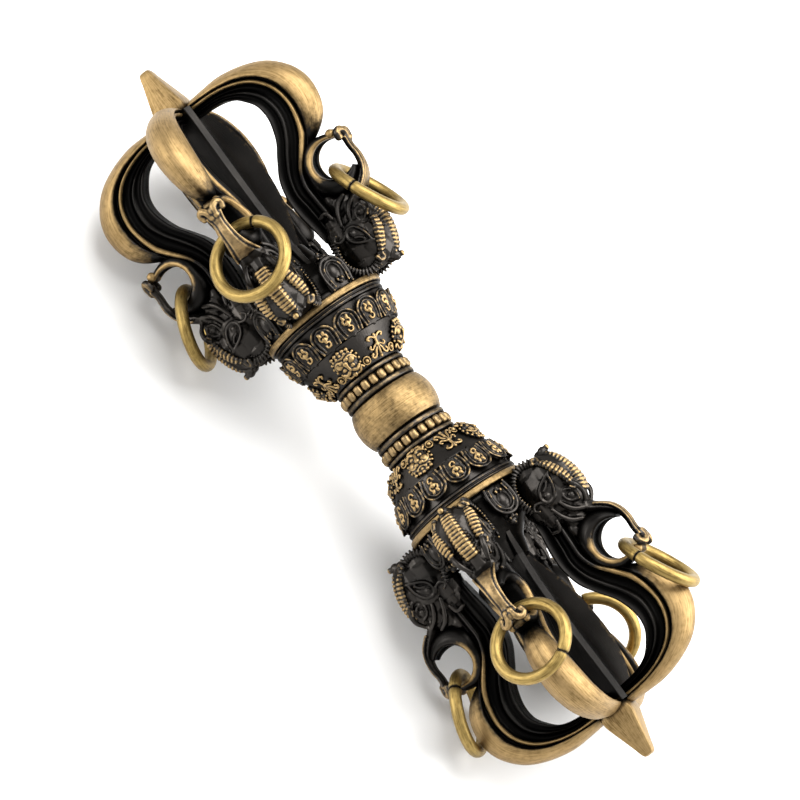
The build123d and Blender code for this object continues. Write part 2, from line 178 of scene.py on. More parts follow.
def set_rub_and_shade(obj, values):
    """Writes how far the patina is rubbed off, 0 to 1, at each vertex; values below FLAT_RUB are painted
    shade, darker than the patina.
    """
    layer = obj.data.attributes.get("rub_and_shade") or obj.data.attributes.new("rub_and_shade", "FLOAT", "POINT")
    values = np.clip(np.broadcast_to(values, len(obj.data.vertices)), 0, 1)
    layer.data.foreach_set("value", values.astype(np.float32))


def radii(obj):
    """Distance of each vertex from the vajra's axis, in millimetres."""
    return np.array([math.hypot(v.co.y, v.co.z) for v in obj.data.vertices]) / MM


def smooth(obj, degrees=50):
    pick(obj)
    bpy.ops.object.shade_smooth_by_angle(angle=math.radians(degrees))
    return obj


def apply_modifier(obj, kind, **values):
    pick(obj)
    modifier = obj.modifiers.new(kind.title(), kind)
    for key, value in values.items():
        setattr(modifier, key, value)
    bpy.ops.object.modifier_apply(modifier=modifier.name)


def round_off(obj, levels=1):
    apply_modifier(obj, "SUBSURF", levels=levels, render_levels=levels)
    return obj


def fix_normals(obj):
    pick(obj)
    bpy.ops.object.mode_set(mode="EDIT")
    bpy.ops.mesh.select_all(action="SELECT")
    bpy.ops.mesh.remove_doubles(threshold=0.001 * MM)
    bpy.ops.mesh.normals_make_consistent(inside=False)
    bpy.ops.object.mode_set(mode="OBJECT")


def skin(name, rings):
    """Closed skin over rings of (x, y, z, rub), with the run and the round as its UV map, in metres."""
    rings = np.asarray(rings, float)
    count, sides = rings.shape[:2]
    rub_and_shade = rings[:, :, 3].reshape(-1)
    rings = rings[:, :, :3]
    obj = new_piece(name, rings.reshape(-1, 3), tube_faces(count, sides))
    set_rub_and_shade(obj, rub_and_shade)
    run = run_lengths(rings.mean(axis=1)) * MM
    wrapped = np.concatenate([rings, rings[:, :1]], axis=1)
    around = np.cumsum(np.linalg.norm(np.diff(wrapped, axis=1), axis=2).mean(axis=0))
    around = np.r_[0, around] * MM
    uv = obj.data.uv_layers.new(name="UVMap")
    table = []
    for i in range(count - 1):
        for j in range(sides):
            table += [(run[i], around[j]), (run[i], around[j + 1]),
                      (run[i + 1], around[j + 1]), (run[i + 1], around[j])]
    table += [(run[0], around[j]) for j in range(sides)][::-1] + [(run[-1], around[j]) for j in range(sides)]
    uv.data.foreach_set("uv", np.array(table, np.float32).reshape(-1))
    return obj


def mirror_out(section):
    """Whole closed section from the half at y above 0, listed from top to bottom."""
    return section + [(x, -y, z, rub_and_shade) for x, y, z, rub_and_shade in section[-2:0:-1]]


def copies(master, names, matrices):
    """Separate copies of a finished shape, each with its own mesh in its own place."""
    made = []
    for name, matrix in zip(names, matrices):
        mesh = master.data.copy()
        mesh.name = name
        mesh.transform(matrix)
        obj = bpy.data.objects.new(name, mesh)
        bpy.context.collection.objects.link(obj)
        made.append(obj)
    return made


def drop(obj):
    mesh = obj.data
    bpy.data.objects.remove(obj)
    bpy.data.meshes.remove(mesh)


def join(name, objects):
    deselect()
    for obj in objects:
        obj.select_set(True)
    bpy.context.view_layer.objects.active = objects[0]
    bpy.ops.object.join()
    whole = bpy.context.object
    whole.name = name
    whole.data.name = name
    return whole


def turn_round(name, outline, end=1, steps=128, rub_and_shade=0.0):
    """Piece turned on a lathe: its outline of (along, radius) corners is spun round the axis."""
    points = [(x, 0, r) for x, r in outline]
    obj = new_piece(name, points, [])
    mesh = obj.data
    mesh.edges.add(len(points) - 1)
    mesh.edges.foreach_set("vertices", [v for i in range(len(points) - 1) for v in (i, i + 1)])
    mesh.update()
    pick(obj)
    bpy.ops.object.mode_set(mode="EDIT")
    bpy.ops.mesh.select_all(action="SELECT")
    bpy.ops.mesh.spin(steps=steps, angle=2 * math.pi, center=(0, 0, 0), axis=(1, 0, 0))
    bpy.ops.object.mode_set(mode="OBJECT")
    fix_normals(obj)
    mesh.transform(stand(end, 90))
    set_rub_and_shade(obj, rub_and_shade)
    return obj


class Clay:
    """Lumps and strips that are cast together as one skin."""

    def __init__(self):
        self.verts = []
        self.faces = []
        self.rub_and_shade = []
        self.count = 0

    def add(self, verts, faces, rub_and_shade):
        self.verts.append(np.asarray(verts, float))
        self.faces += [tuple(v + self.count for v in face) for face in faces]
        self.rub_and_shade += [rub_and_shade] * len(faces)
        self.count += len(verts)

    def lump(self, place, size, turn=0.0, rub_and_shade=0.0, tilt=0.0):
        """Ellipsoid, turned about y and then about z, in degrees."""
        rows, cols = 8, 12
        grid = []
        for i in range(1, rows):
            for j in range(cols):
                a, b = math.pi * i / rows, 2 * math.pi * j / cols
                grid.append((math.sin(a) * math.cos(b), math.sin(a) * math.sin(b), math.cos(a)))
        verts = np.array([(0, 0, 1)] + grid + [(0, 0, -1)]) * size
        turned = Matrix.Rotation(math.radians(tilt), 3, "Z") @ Matrix.Rotation(math.radians(turn), 3, "Y")
        verts = verts @ np.array(turned).T + np.array(place)
        last = len(verts) - 1
        faces = [(0, 1 + j, 1 + (j + 1) % cols) for j in range(cols)]
        for i in range(rows - 2):
            for j in range(cols):
                a, b = 1 + i * cols + j, 1 + i * cols + (j + 1) % cols
                faces.append((a, a + cols, b + cols, b))
        faces += [(last, last - cols + (j + 1) % cols, last - cols + j) for j in range(cols)]
        self.add(verts, faces, rub_and_shade)

    def strip(self, rows, count=24, rub_and_shade=0.0, closed=False, up=(0, 0, 1)):
        """Rod along rows of (x, y, z, half width, half height). Its width lies square to up."""
        p = flow(rows, count, knots=run_lengths(np.array(rows)[:, :3]))
        path = p[:, :3]
        ahead = np.gradient(path, axis=0)
        if closed:
            ahead[0] = ahead[-1] = path[1] - path[-2]
        ahead /= np.linalg.norm(ahead, axis=1)[:, None]
        side = np.cross(np.array(up, float), ahead)
        side /= np.linalg.norm(side, axis=1)[:, None] + 1e-9
        rise = np.cross(ahead, side)
        spins = np.linspace(0, 2 * math.pi, 8, endpoint=False)
        rings = (path[:, None] + side[:, None] * (np.cos(spins) * p[:, 3:4])[:, :, None]
                 + rise[:, None] * (np.sin(spins) * p[:, 4:5])[:, :, None])
        self.add(rings.reshape(-1, 3), tube_faces(count, 8), rub_and_shade)
        for row in () if closed else (p[0], p[-1]):
            self.lump(row[:3], np.repeat(min(row[3], row[4]), 3), rub_and_shade=rub_and_shade)

    def wire(self, places, radius, count=24, rub_and_shade=0.0, closed=False, up=(0, 0, 1)):
        if closed:
            places = list(places) + [places[0]]
        self.strip([(*place, radius, radius) for place in places], count, rub_and_shade, closed, up)

    def both(self, method, places, *args, **kwargs):
        """The same strip or wire on both sides of y = 0."""
        for sign in (1, -1):
            getattr(self, method)([(row[0], sign * row[1], *row[2:]) for row in places], *args, **kwargs)

    def cast(self, name, voxel, wear=1.0, passes=2, bend=None, side_rub=0.3):
        """Melts the lumps into one skin, rubs its raised places bright and paints shade into its hollows,
        darker than the patina.

        side_rub is the share of the rub that is left on faces that don't look outwards.
        """
        verts = np.concatenate(self.verts)
        lumps = BVHTree.FromPolygons(verts.tolist(), self.faces)
        obj = new_piece(name, verts, self.faces)
        apply_modifier(obj, "REMESH", mode="VOXEL", voxel_size=MM * voxel)
        apply_modifier(obj, "SMOOTH", factor=0.5, iterations=passes)
        mesh = obj.data
        count = len(mesh.vertices)
        places = np.empty(count * 3, np.float32)
        mesh.vertices.foreach_get("co", places)
        places = places.reshape(-1, 3).astype(float) / MM
        normals = np.empty(count * 3, np.float32)
        mesh.vertex_normals.foreach_get("vector", normals)
        normals = normals.reshape(-1, 3)
        edges = np.empty(len(mesh.edges) * 2, np.int32)
        mesh.edges.foreach_get("vertices", edges)
        edges = edges.reshape(-1, 2)
        near = np.bincount(edges.reshape(-1), minlength=count)

        def around(values):
            """Mean of the values at the neighbours of each vertex."""
            total = np.bincount(edges[:, 0], values[edges[:, 1]], count)
            return (total + np.bincount(edges[:, 1], values[edges[:, 0]], count)) / near

        own = np.array([self.rub_and_shade[lumps.find_nearest(p)[2]] for p in places.tolist()])
        # How far each vertex stands out of its neighbours: above 0 on ridges, below 0 in hollows
        bulge = sum(normals[:, axis] * (places[:, axis] - around(places[:,
            axis])) for axis in range(3)) / voxel
        for _ in range(2):
            for values in (bulge, own):
                values[:] = 0.5 * values + 0.5 * around(values)
        rub_and_shade = own * np.clip(0.52 + 8 * bulge * wear, 0, 1.4) + wear * np.clip(5 * bulge - 0.35, 0, 0.5)
        rub_and_shade *= np.interp(normals[:, 2], [0.15, 0.75], [side_rub, 1.0])
        # Flat places keep FLAT_RUB; hollows fall below it, which paints shade into them
        set_rub_and_shade(obj, np.maximum(rub_and_shade, FLAT_RUB * np.clip(1 + 9 * bulge, 0, 1)))
        if bend:
            mesh.vertices.foreach_set("co", (bend(places) * MM).astype(np.float32).reshape(-1))
        apply_modifier(obj, "DECIMATE", ratio=KEPT_FACES)
        smooth(obj, 180)
        return obj


# Materials

def linear(colour):
    """Linear RGBA of an sRGB hex value."""
    parts = [int(colour.lstrip("#")[i:i + 2], 16) / 255 for i in (0, 2, 4)]
    return tuple(p / 12.92 if p <= 0.04045 else ((p + 0.055) / 1.055) ** 2.4 for p in parts) + (1.0,)


def node(tree, kind, inputs=None, **values):
    """Adds a node. Inputs are values or sockets to link, by name or number."""
    made = tree.nodes.new(kind)
    for key, value in values.items():
        setattr(made, key, value)
    for key, value in (inputs or {}).items():
        socket = made.inputs[key]
        if isinstance(value, bpy.types.NodeSocket):
            tree.links.new(value, socket)
        else:
            socket.default_value = value
    return made


def ramp(tree, factor, stops):
    """Colour ramp from (position, colour) stops."""
    made = node(tree, "ShaderNodeValToRGB", {"Fac": factor})
    bar = made.color_ramp
    while len(bar.elements) < len(stops):
        bar.elements.new(0.5)
    for element, (position, colour) in zip(bar.elements, stops):
        element.position = position
        element.color = colour
    return made.outputs["Color"]


def grey(value):
    return (value, value, value, 1.0)


def shade(colour, *shares):
    """Linear colour with each channel multiplied by its share, at most 1."""
    return tuple(min(1, channel * share) for channel, share in zip(colour, shares)) + (1.0,)


def compute(tree, operation, *values):
    """Output of a math node."""
    return node(tree, "ShaderNodeMath", dict(enumerate(values)), operation=operation).outputs[0]


def noise(tree, place, scale, detail, roughness=0.5):
    inputs = {"Vector": place, "Scale": scale, "Detail": detail, "Roughness": roughness}
    return node(tree, "ShaderNodeTexNoise", inputs).outputs["Fac"]


def spread(tree, value, low, high, top=1.0):
    """Value from 0 to top, laid out from low to high."""
    inputs = {"Value": value, "From Max": top, "To Min": low, "To Max": high}
    return node(tree, "ShaderNodeMapRange", inputs).outputs[0]


def blend(tree, share, first, second, kind="RGBA"):
    """First where the share is 0, second where it is 1."""
    # Sockets of the mix node: colours and numbers have their own
    at, out = (6, 2) if kind == "RGBA" else (2, 0)
    return node(tree, "ShaderNodeMix", {0: share, at: first, at + 1: second}, data_type=kind).outputs[out]


def patinated_brass(name, brass, patina, brush_mm=None, brass_rough=0.5, dark_rough=0.34):
    """Cast brass under black patina, rubbed back to bright metal where the rub attribute is high, and
    darkened with painted shade where it is below FLAT_RUB.

    With brush_mm, fine brush lines of that spacing run along the first direction of the UV map.
    """
    material = bpy.data.materials.new(name)
    material.use_nodes = True
    tree = material.node_tree
    tree.nodes.clear()
    rub_and_shade = node(tree, "ShaderNodeAttribute", attribute_name="rub_and_shade").outputs["Fac"]
    place = node(tree, "ShaderNodeTexCoord").outputs["Object"]
    # Casting grain of about a millimetre breaks the edge of the rubbed places
    grain = noise(tree, place, 1 / MM, 3.0, 0.6)
    cloud = noise(tree, place, 1 / (9 * MM), 2.0)
    shifted = compute(tree, "SUBTRACT", grain, 0.5)
    worn = compute(tree, "MULTIPLY_ADD", shifted, 0.45, rub_and_shade)
    share = node(tree, "ShaderNodeMapRange", {"Value": worn, "From Min": 0.28, "From Max": 0.72}).outputs[0]
    height = grain
    if brush_mm:
        # Satin brushing: long thin scratches, drawn a little coarser than real so that they show
        lay = node(tree, "ShaderNodeUVMap", uv_map="UVMap").outputs["UV"]
        drawn = node(tree, "ShaderNodeMapping",
                     {"Vector": lay, "Scale": (1 / (3.4 * MM), 1 / (brush_mm * MM), 1.0)}).outputs["Vector"]
        lines = noise(tree, drawn, 1.0, 4.0, 0.65)
        tone = compute(tree, "MULTIPLY_ADD", lines, 1.4, -0.57)
        tone = compute(tree, "MULTIPLY_ADD", grain, 0.5, tone)
        tone = compute(tree, "MULTIPLY_ADD", cloud, 0.35, tone)
        height = lines
    else:
        tone = compute(tree, "MULTIPLY_ADD", cloud, 0.5, grain)
    metal, black = linear(brass), linear(patina)
    bright = ramp(tree, tone, [(0.3, shade(metal, 0.5, 0.47, 0.42)), (0.56, metal),
                               (0.85, shade(metal, 1.3, 1.32, 1.4))])
    dark = ramp(tree, cloud, [(0.3, shade(black, 0.75, 0.75, 0.75)), (0.7, shade(black, 1.35, 1.3, 1.25))])
    # Painted shade: below FLAT_RUB the patina darkens to near black, for hollows and recesses
    dark = blend(tree, spread(tree, rub_and_shade, 0.12, 1.0, FLAT_RUB), grey(0.001), dark)
    colour = blend(tree, share, dark, bright)
    rough_bright = spread(tree, height, brass_rough - 0.09, brass_rough + 0.11)
    rough_dark = spread(tree, grain, dark_rough - 0.06, dark_rough + 0.1)
    rough = blend(tree, share, rough_dark, rough_bright, "FLOAT")
    relief = {"Height": height, "Strength": 0.8, "Distance": 0.05 * MM}
    bump = node(tree, "ShaderNodeBump", relief).outputs["Normal"]
    # Patina swallows the light that skims over it
    skim = blend(tree, share, grey(0.45), grey(1.0))
    shader = node(tree, "ShaderNodeBsdfPrincipled",
                  {"Base Color": colour, "Metallic": 1.0, "Roughness": rough, "Normal": bump,
                   "Specular Tint": skim})
    node(tree, "ShaderNodeOutputMaterial", {"Surface": shader.outputs["BSDF"]})
    return material


def plain_steel(name):
    """Bright drawn steel rod, fine lines along it, hidden in the vajra."""
    material = bpy.data.materials.new(name)
    material.use_nodes = True
    tree = material.node_tree
    shader = tree.nodes["Principled BSDF"]
    place = node(tree, "ShaderNodeTexCoord").outputs["Object"]
    drawn = node(tree, "ShaderNodeMapping",
                 {"Vector": place, "Scale": (1 / (20 * MM), 1 / (0.2 * MM), 1 / (0.2 * MM))})
    lines = noise(tree, drawn.outputs["Vector"], 1.0, 3.0)
    steel = ramp(tree, lines, [(0.3, linear("#8E9092")), (0.7, linear("#B4B6B8"))])
    tree.links.new(steel, shader.inputs["Base Color"])
    tree.links.new(spread(tree, lines, 0.25, 0.4), shader.inputs["Roughness"])
    shader.inputs["Metallic"].default_value = 1.0
    return material


def make_materials():
    chosen = settings()
    # Brushed antique brass: satin lines along the piece, painted shade in the hollows, patina left at its
    # edges
    MATERIALS["brushed"] = patinated_brass("brushed_antique_brass", chosen.brass, chosen.patina, 0.22)
    # Cast and blackened brass: satin black with the raised work rubbed back to gold
    MATERIALS["cast"] = patinated_brass("blackened_cast_brass", chosen.brass, chosen.cast_patina,
                                        brass_rough=0.46, dark_rough=0.32)
    # Drawn brass wire: yellower, lightly scratched round the wire, with dull spots
    MATERIALS["wire"] = patinated_brass("drawn_brass_wire", chosen.ring_brass, chosen.patina, 0.3, 0.44)
    MATERIALS["steel"] = plain_steel("drawn_steel")


def finish_piece(obj, material, nodes, body=BODY):
    obj.data.materials.clear()
    obj.data.materials.append(MATERIALS[material])
    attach(obj, body)
    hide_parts(*nodes)


def finish_eight(master, kind, material, part):
    """Stands a copy of the master in each of the eight places round the two ends."""
    for side, end in ENDS.items():
        names = [f"{side}_{spot}_{kind}" for spot in PRONGS]
        for obj, spot in zip(copies(master, names, [stand(end, a) for a in PRONGS.values()]), PRONGS):
            finish_piece(obj, material, [f"{side}_{spot}_{part}"])
    drop(master)


# Turned pieces

def rounded(outline, radius):
    """Outline with each inner corner cut back and rounded in three points."""
    done = [outline[0]]
    for before, corner, after in zip(outline, outline[1:], outline[2:]):
        p, c, q = np.array(before, float), np.array(corner, float), np.array(after, float)
        back, on = p - c, q - c
        cut = min(radius, 0.45 * np.linalg.norm(back), 0.45 * np.linalg.norm(on))
        a, b = c + back / np.linalg.norm(back) * cut, c + on / np.linalg.norm(on) * cut
        done += [tuple(a), tuple(0.25 * a + 0.5 * c + 0.25 * b), tuple(b)]
    return done + [outline[-1]]


def turned_uv(obj):
    """UV map of a turned piece: round the axis first, so that brush lines go round it."""
    mesh = obj.data
    uv = mesh.uv_layers.new(name="UVMap")
    co = np.array([v.co for v in mesh.vertices])
    turn = np.arctan2(co[:, 2], co[:, 1])
    radius = np.hypot(co[:, 1], co[:, 2])
    steady = radius.max()
    for polygon in mesh.polygons:
        corners = list(polygon.vertices)
        angles = turn[corners]
        if angles.max() - angles.min() > math.pi:
            angles = np.where(angles < 0, angles + 2 * math.pi, angles)
        for loop, vertex, angle in zip(polygon.loop_indices, corners, angles):
            uv.data[loop].uv = (angle * steady, co[vertex, 0] + radius[vertex])


def make_globe():
    """Brushed grip globe, a flattened ball turned between the two collars."""
    half = GLOBE_HALF_LENGTH
    swell = [(GLOBE_RADIUS * math.sin(a) * 0.86, GLOBE_RADIUS * math.cos(a) ** 0.75)
             for a in np.linspace(-0.56, 0.56, 29)]
    outline = [(-half, BORE)] + [(max(-half, min(half, x)), r) for x, r in swell] + [(half, BORE)]
    globe = turn_round("grip_globe_brass", rounded(outline, 0.12), steps=160)
    turned_uv(globe)
    set_rub_and_shade(globe, np.interp(radii(globe), [6.6, 7.0, 8.2], [0.25, 0.45, 0.66]))
    smooth(globe, 40)
    finish_piece(globe, "brushed", ["grip_globe"])


def make_collar(side, end):
    """Two turned discs with a row of squarish beads between them."""
    outline = [(4.0, BORE), (4.0, 6.8), (4.35, 7.35), (4.9, 7.4), (5.35, 7.2), (5.4, 6.2), (7.5, 6.2),
               (7.55, 7.1),
               (7.9, 7.4), (8.4, 7.35), (8.7, 6.9), (8.7, BORE)]
    discs = turn_round("discs", rounded(outline, 0.15), end)
    # Painted shade on the disc walls and in the groove under the beads, below FLAT_RUB; the disc rims rubbed
    # bright
    set_rub_and_shade(discs, np.interp(radii(discs), [6.3, 6.9, 7.25, 7.4], [0.02, 0.12, 0.12, 0.42]))
    deselect()
    bpy.ops.mesh.primitive_cube_add(size=1)
    bead = bpy.context.object
    bead.scale = (settings().bead_length, 1.56 * MM, 1.5 * MM)
    settle(bead)
    apply_modifier(bead, "BEVEL", width=0.6 * MM, segments=3)
    deselect()
    seat = Matrix.Translation((6.45 * MM, 0, 6.95 * MM))
    beads = copies(bead, [f"bead_{i}" for i in range(BEADS)],
                   [stand(end, 360 / BEADS * i) @ seat for i in range(BEADS)])
    for made in beads:
        set_rub_and_shade(made, 0.57)
    drop(bead)
    collar = join(f"{side}_collar_beads", [discs] + beads)
    smooth(collar, 45)
    finish_piece(collar, "cast", [f"{side}_bead_collar"])


def make_rim(side, end):
    """Plain turned brass rim above the lotus band."""
    outline = [(21.8, BORE), (21.8, 12.2), (22.0, 12.52), (22.5, 12.6), (23.0, 12.52), (23.2, 12.2),
               (23.2, BORE)]
    rim = turn_round(f"{side}_brass_rim", rounded(outline, 0.1), end, steps=160)
    set_rub_and_shade(rim, np.interp(radii(rim), [12.15, 12.45], [0.2, 0.62]))
    turned_uv(rim)
    smooth(rim, 40)
    finish_piece(rim, "brushed", [f"{side}_rim_ring"])


def make_hub(side, end):
    """Hub behind the heads, painted with shade darker than the patina, stepped, with a flat vane below each
    upright petal.
    """
    outline = [(23.2, BORE), (23.2, 11.0), (24.2, 11.0), (24.6, 10.2), (28.4, 9.4), (30.2, 7.6), (32.5, 5.6),
               (36.0, 4.6), (36.0, BORE)]
    # Painted shade: hub and vanes sit below FLAT_RUB, darker than the patina, deep behind the heads
    black = 0.03
    hub = turn_round("hub", rounded(outline, 0.3), end, steps=64, rub_and_shade=black)
    vanes = []
    for angle in (0, 90, 180, 270):
        middle, last = (6.1, 5.6) if angle % 180 else (5.6, 4.6)
        rows = flow([(28.4, 7.6, 0.5), (30.5, 6.9, 0.55), (33, middle, 0.65), (36.0, last, 0.78)], 12)
        vane = skin(f"vane_{angle}", [
            [(s, y, z, black) for y, z in ((half, 3.0), (half, out - 0.15), (half - 0.15, out),
                                           (0.15 - half, out),
                                           (-half, out - 0.15), (-half, 3.0))] for s, out, half in rows])
        fix_normals(vane)
        vane.data.transform(stand(end, angle))
        vanes.append(vane)
    hub = join(f"{side}_painted_shade_hub", [hub] + vanes)
    smooth(hub, 35)
    finish_piece(hub, "cast", [f"{side}_hub"])


def make_turned():
    """The grip globe, and the collar, rim and hub of each end."""
    make_globe()
    for side, end in ENDS.items():
        make_collar(side, end)
        make_rim(side, end)
        make_hub(side, end)


def make_rod():
    """Gives the CAD core rod its steel."""
    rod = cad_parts["core_rod"]
    rod.data.materials.clear()
    rod.data.materials.append(MATERIALS["steel"])


# Prongs

# Side view of the outer prong from the mouth to the spike: four lines of (along, out), top to bottom
PRONG_LINES = [
    ((32.4, 12.8), (32.4, 11.8), (32.4, 10.3), (32.4, 8.8)),
    ((35.8, 13.6), (35.8, 12.2), (35.8, 10.6), (35.8, 8.4)),
    ((40.0, 13.6), (40.0, 12.0), (40.0, 10.4), (40.0, 7.8)),
    ((43.5, 13.6), (43.5, 12.0), (43.5, 10.1), (43.6, 7.9)),
    ((46.4, 14.7), (46.5, 13.1), (46.8, 11.0), (47.3, 8.8)),
    ((48.8, 16.9), (49.3, 15.2), (50.0, 12.8), (50.7, 10.8)),
    ((51.4, 18.8), (52.0, 17.2), (52.8, 14.7), (53.4, 12.6)),
    ((54.8, 19.9), (55.3, 18.5), (55.9, 16.2), (56.3, 13.7)),
    ((58.8, 20.3), (58.8, 18.9), (58.8, 16.5), (58.8, 14.1)),
    ((62.3, 19.4), (62.1, 18.1), (61.5, 15.9), (61.0, 13.8)),
    ((65.6, 17.0), (65.0, 15.9), (63.9, 14.3), (63.0, 12.6)),
    ((67.9, 13.0), (67.0, 12.5), (65.9, 11.5), (65.1, 10.5)),
    ((69.0, 9.2), (68.0, 8.9), (67.0, 8.5), (66.1, 7.9)),
    ((69.4, 5.1), (68.3, 5.0), (67.4, 4.7), (66.5, 4.4)),
    ((69.5, 3.0), (68.3, 3.0), (67.4, 3.0), (66.6, 3.0)),
]
PRONG_HALF_WIDTHS = [2.3, 2.8, 3.0, 3.1, 3.1, 3.0, 2.85, 2.8, 2.8, 2.8, 2.75, 2.5, 2.2, 1.95, 1.85]
# Half section: place between the lines (0 top to 3 bottom), how far in from the side, rub; a rub below
# FLAT_RUB is painted shade, darker than the patina, as in the channels
PRONG_SECTION = [
    (0.0, 9, 0.1), (0.0, 0.75, 0.1), (0.1, 0.7, 0.1), (0.22, 1.2, 0.0), (0.34, 0.75, 0.2),
    (0.42, 0.15, 0.95),
    (0.58, -0.1, 1.0), (0.78, -0.1, 1.0), (0.94, 0.1, 0.95), (1.02, 0.6, 0.1), (1.2, 1.35, 0.0),
    (1.55, 1.4, 0.0), (1.8, 0.95, 0.0),
    (1.92, 0.4, 0.2), (2.06, 0.4, 0.16), (2.2, 0.9, 0.0), (2.36, 1.05, 0.0), (2.6, 0.95, 0.0),
    (2.8, 0.5, 0.06), (2.93, 0.45, 0.16),
    (3.0, 0.9, 0.05), (2.94, 9, 0.0),
]
# How bright the gold rib is rubbed, from the mouth to the spike
PRONG_POLISH = [(36, 0.18), (45, 0.24), (50, 0.75), (54, 1.0), (66, 1.0), (70, 0.85)]
# Brass face: (inner along, inner out, outer along, outer out, half width, rub); the low rub where it starts
# by the curl gives painted shade
FACE_STATIONS = [
    (50.0, 16.4, 49.2, 17.0, 1.2, 0.05),
    (51.2, 18.0, 50.0, 19.2, 1.9, 0.2),
    (52.5, 18.9, 51.3, 21.4, 2.5, 0.42),
    (54.8, 19.9, 53.7, 23.6, 3.1, 0.66),
    (58.0, 20.3, 58.0, 24.8, 3.55, 0.86),
    (61.8, 19.7, 62.6, 24.0, 3.75, 0.95),
    (65.0, 17.6, 66.6, 21.0, 3.6, 0.98),
    (67.4, 14.0, 69.2, 16.4, 3.3, 0.98),
    (68.5, 10.2, 70.5, 11.2, 2.95, 0.98),
    (69.0, 6.5, 70.5, 6.8, 2.6, 0.9),
    (69.2, 3.0, 70.3, 3.3, 2.35, 0.5),
]
# Across the face: share of the half width, share of the rise, share of the rub; the low shares on its
# underside take the rub below FLAT_RUB, into painted shade
FACE_SECTION = [(0.0, -0.1, 0.1), (0.6, -0.02, 0.1), (0.9, 0.02, 0.2), (1.0, 0.1, 0.6), (0.985, 0.22, 0.85),
                (0.92, 0.39, 0.95), (0.8, 0.57, 1.0), (0.62, 0.75, 1.0), (0.42, 0.89, 1.0),
                (0.2, 0.975, 1.0), (0.0, 1.0, 1.0)]


def prong_body():
    """Dark body of an outer prong, with a gold rib, a grey line and the channels between them, the channels
    in painted shade.
    """
    rows = [[v for point in lines for v in point] + [half] for lines,
            half in zip(PRONG_LINES, PRONG_HALF_WIDTHS)]
    rings = []
    for row in flow(rows, 96):
        lines = row[:8].reshape(4, 2)
        half = []
        for q, inset, rub_and_shade in PRONG_SECTION:
            first = min(int(q), 2)
            x, z = lines[first] + (lines[first + 1] - lines[first]) * (q - first)
            if rub_and_shade > 0.15:
                rub_and_shade = rub_and_shade * np.interp(x, *zip(*PRONG_POLISH))
            half.append((x, max(row[8] - inset, 0), z, rub_and_shade))
        rings.append(mirror_out(half))
    return skin("body", rings)


def prong_face():
    """Crowned brass face of an outer prong, brushed along its length."""
    return skin("face", [
        mirror_out([(x0 + (x1 - x0) * rise, width * across, z0 + (z1 - z0) * rise, rub_and_shade * polish)
                    for across, rise, polish in FACE_SECTION])
        for x0, z0, x1, z1, width, rub_and_shade in flow(FACE_STATIONS, 72)])


# Curl of the hook: angle round the hole, thickness, half width
CURL_ROWS = [(140, 0.9, 2.2), (160, 1.7, 2.9), (182, 2.6, 3.6), (208, 3.5, 4.0), (238, 3.4, 4.1),
             (267, 2.4, 3.9), (297, 2.3, 3.4), (330, 2.2, 2.9), (362, 1.4, 2.5), (386, 1.1, 2.2)]
# Half section of the curl: share of the half width, depth as a share of the thickness, rub; a rub below
# FLAT_RUB, as in the scoop and on the back, is painted shade
CURL_SECTION = [(0.0, 0.16, 0.0), (0.45, 0.1, 0.0), (0.62, -0.04, 0.1), (0.72, -0.07, 0.9),
                (0.95, 0.02, 1.0),
                (1.0, 0.2, 0.9), (0.97, 0.4, 0.3), (0.88, 0.66, 0.1), (0.6, 0.92, 0.05), (0.0, 1.0, 0.05)]


def hook_curl():
    """Scooped curl round the ring's hole, with a gold lip on each edge."""
    rings = []
    for angle, thick, half in flow(CURL_ROWS, 84, knots=np.arange(len(CURL_ROWS))):
        turn = math.radians(angle)
        out = np.array((math.cos(turn), math.sin(turn)))
        shine = np.interp(angle, [190, 235, 262, 300], [0.1, 0.35, 0.9, 1.0])
        ring = []
        for across, depth, rub_and_shade in CURL_SECTION:
            reach = HOOK_RADIUS + max(depth, -0.12 / thick) * thick
            x, z = HOOK[0] + out[0] * reach, HOOK[1] + out[1] * reach
            ring.append((x, half * across, z, rub_and_shade * shine if rub_and_shade > 0.2 else rub_and_shade))
        rings.append(mirror_out(ring)[::-1])
    return skin("curl", rings)


def make_prongs():
    """The eight outer prongs."""
    body = round_off(prong_body())
    face = round_off(prong_face())
    curl = round_off(hook_curl())
    end_knob = Clay()
    turn = math.radians(30)
    x, z = HOOK[0] + 4.75 * math.cos(turn), HOOK[1] + 4.75 * math.sin(turn)
    end_knob.lump((x, 0, z), (0.95, 2.1, 0.95), rub_and_shade=0.5)
    for y in (-1.7, 1.7):
        end_knob.lump((x, y, z), (0.95, 0.75, 0.95), rub_and_shade=0.85)
    knob = end_knob.cast("knob", 0.14, side_rub=0.9)
    prong = join("prong_master", [body, face, curl, knob])
    fix_normals(prong)
    smooth(prong, 60)
    finish_eight(prong, "chased_prong", "brushed", "prong")


# Blade: place along the axis, reach of its thin edges and of its flat ridges
BLADE_ROWS = [(35.8, 4.4, 5.6), (40, 6.0, 4.9), (46, 7.8, 4.5), (52, 8.6, 4.5), (57, 8.7, 4.6),
              (62, 7.8, 4.7), (66, 6.2, 4.8), (69.2, 4.6, 4.8)]
# Spike: place along the axis, half width, corner, rub; the rub below FLAT_RUB at its foot is painted shade
SPIKE_ROWS = [(66.4, 2.5, 0.6, 0.1), (69.2, 2.9, 0.6, 0.3), (70.3, 3.2, 0.5, 0.6), (71.2, 3.2, 0.5, 0.9),
              (73.0, 2.8, 0.45, 0.96), (75.5, 2.15, 0.35, 0.98), (78.0, 1.5, 0.3, 0.98),
              (79.3, 1.2, 0.28, 0.95), (79.85, 0.95, 0.26, 0.9), (80.0, 0.6, 0.2, 0.85)]


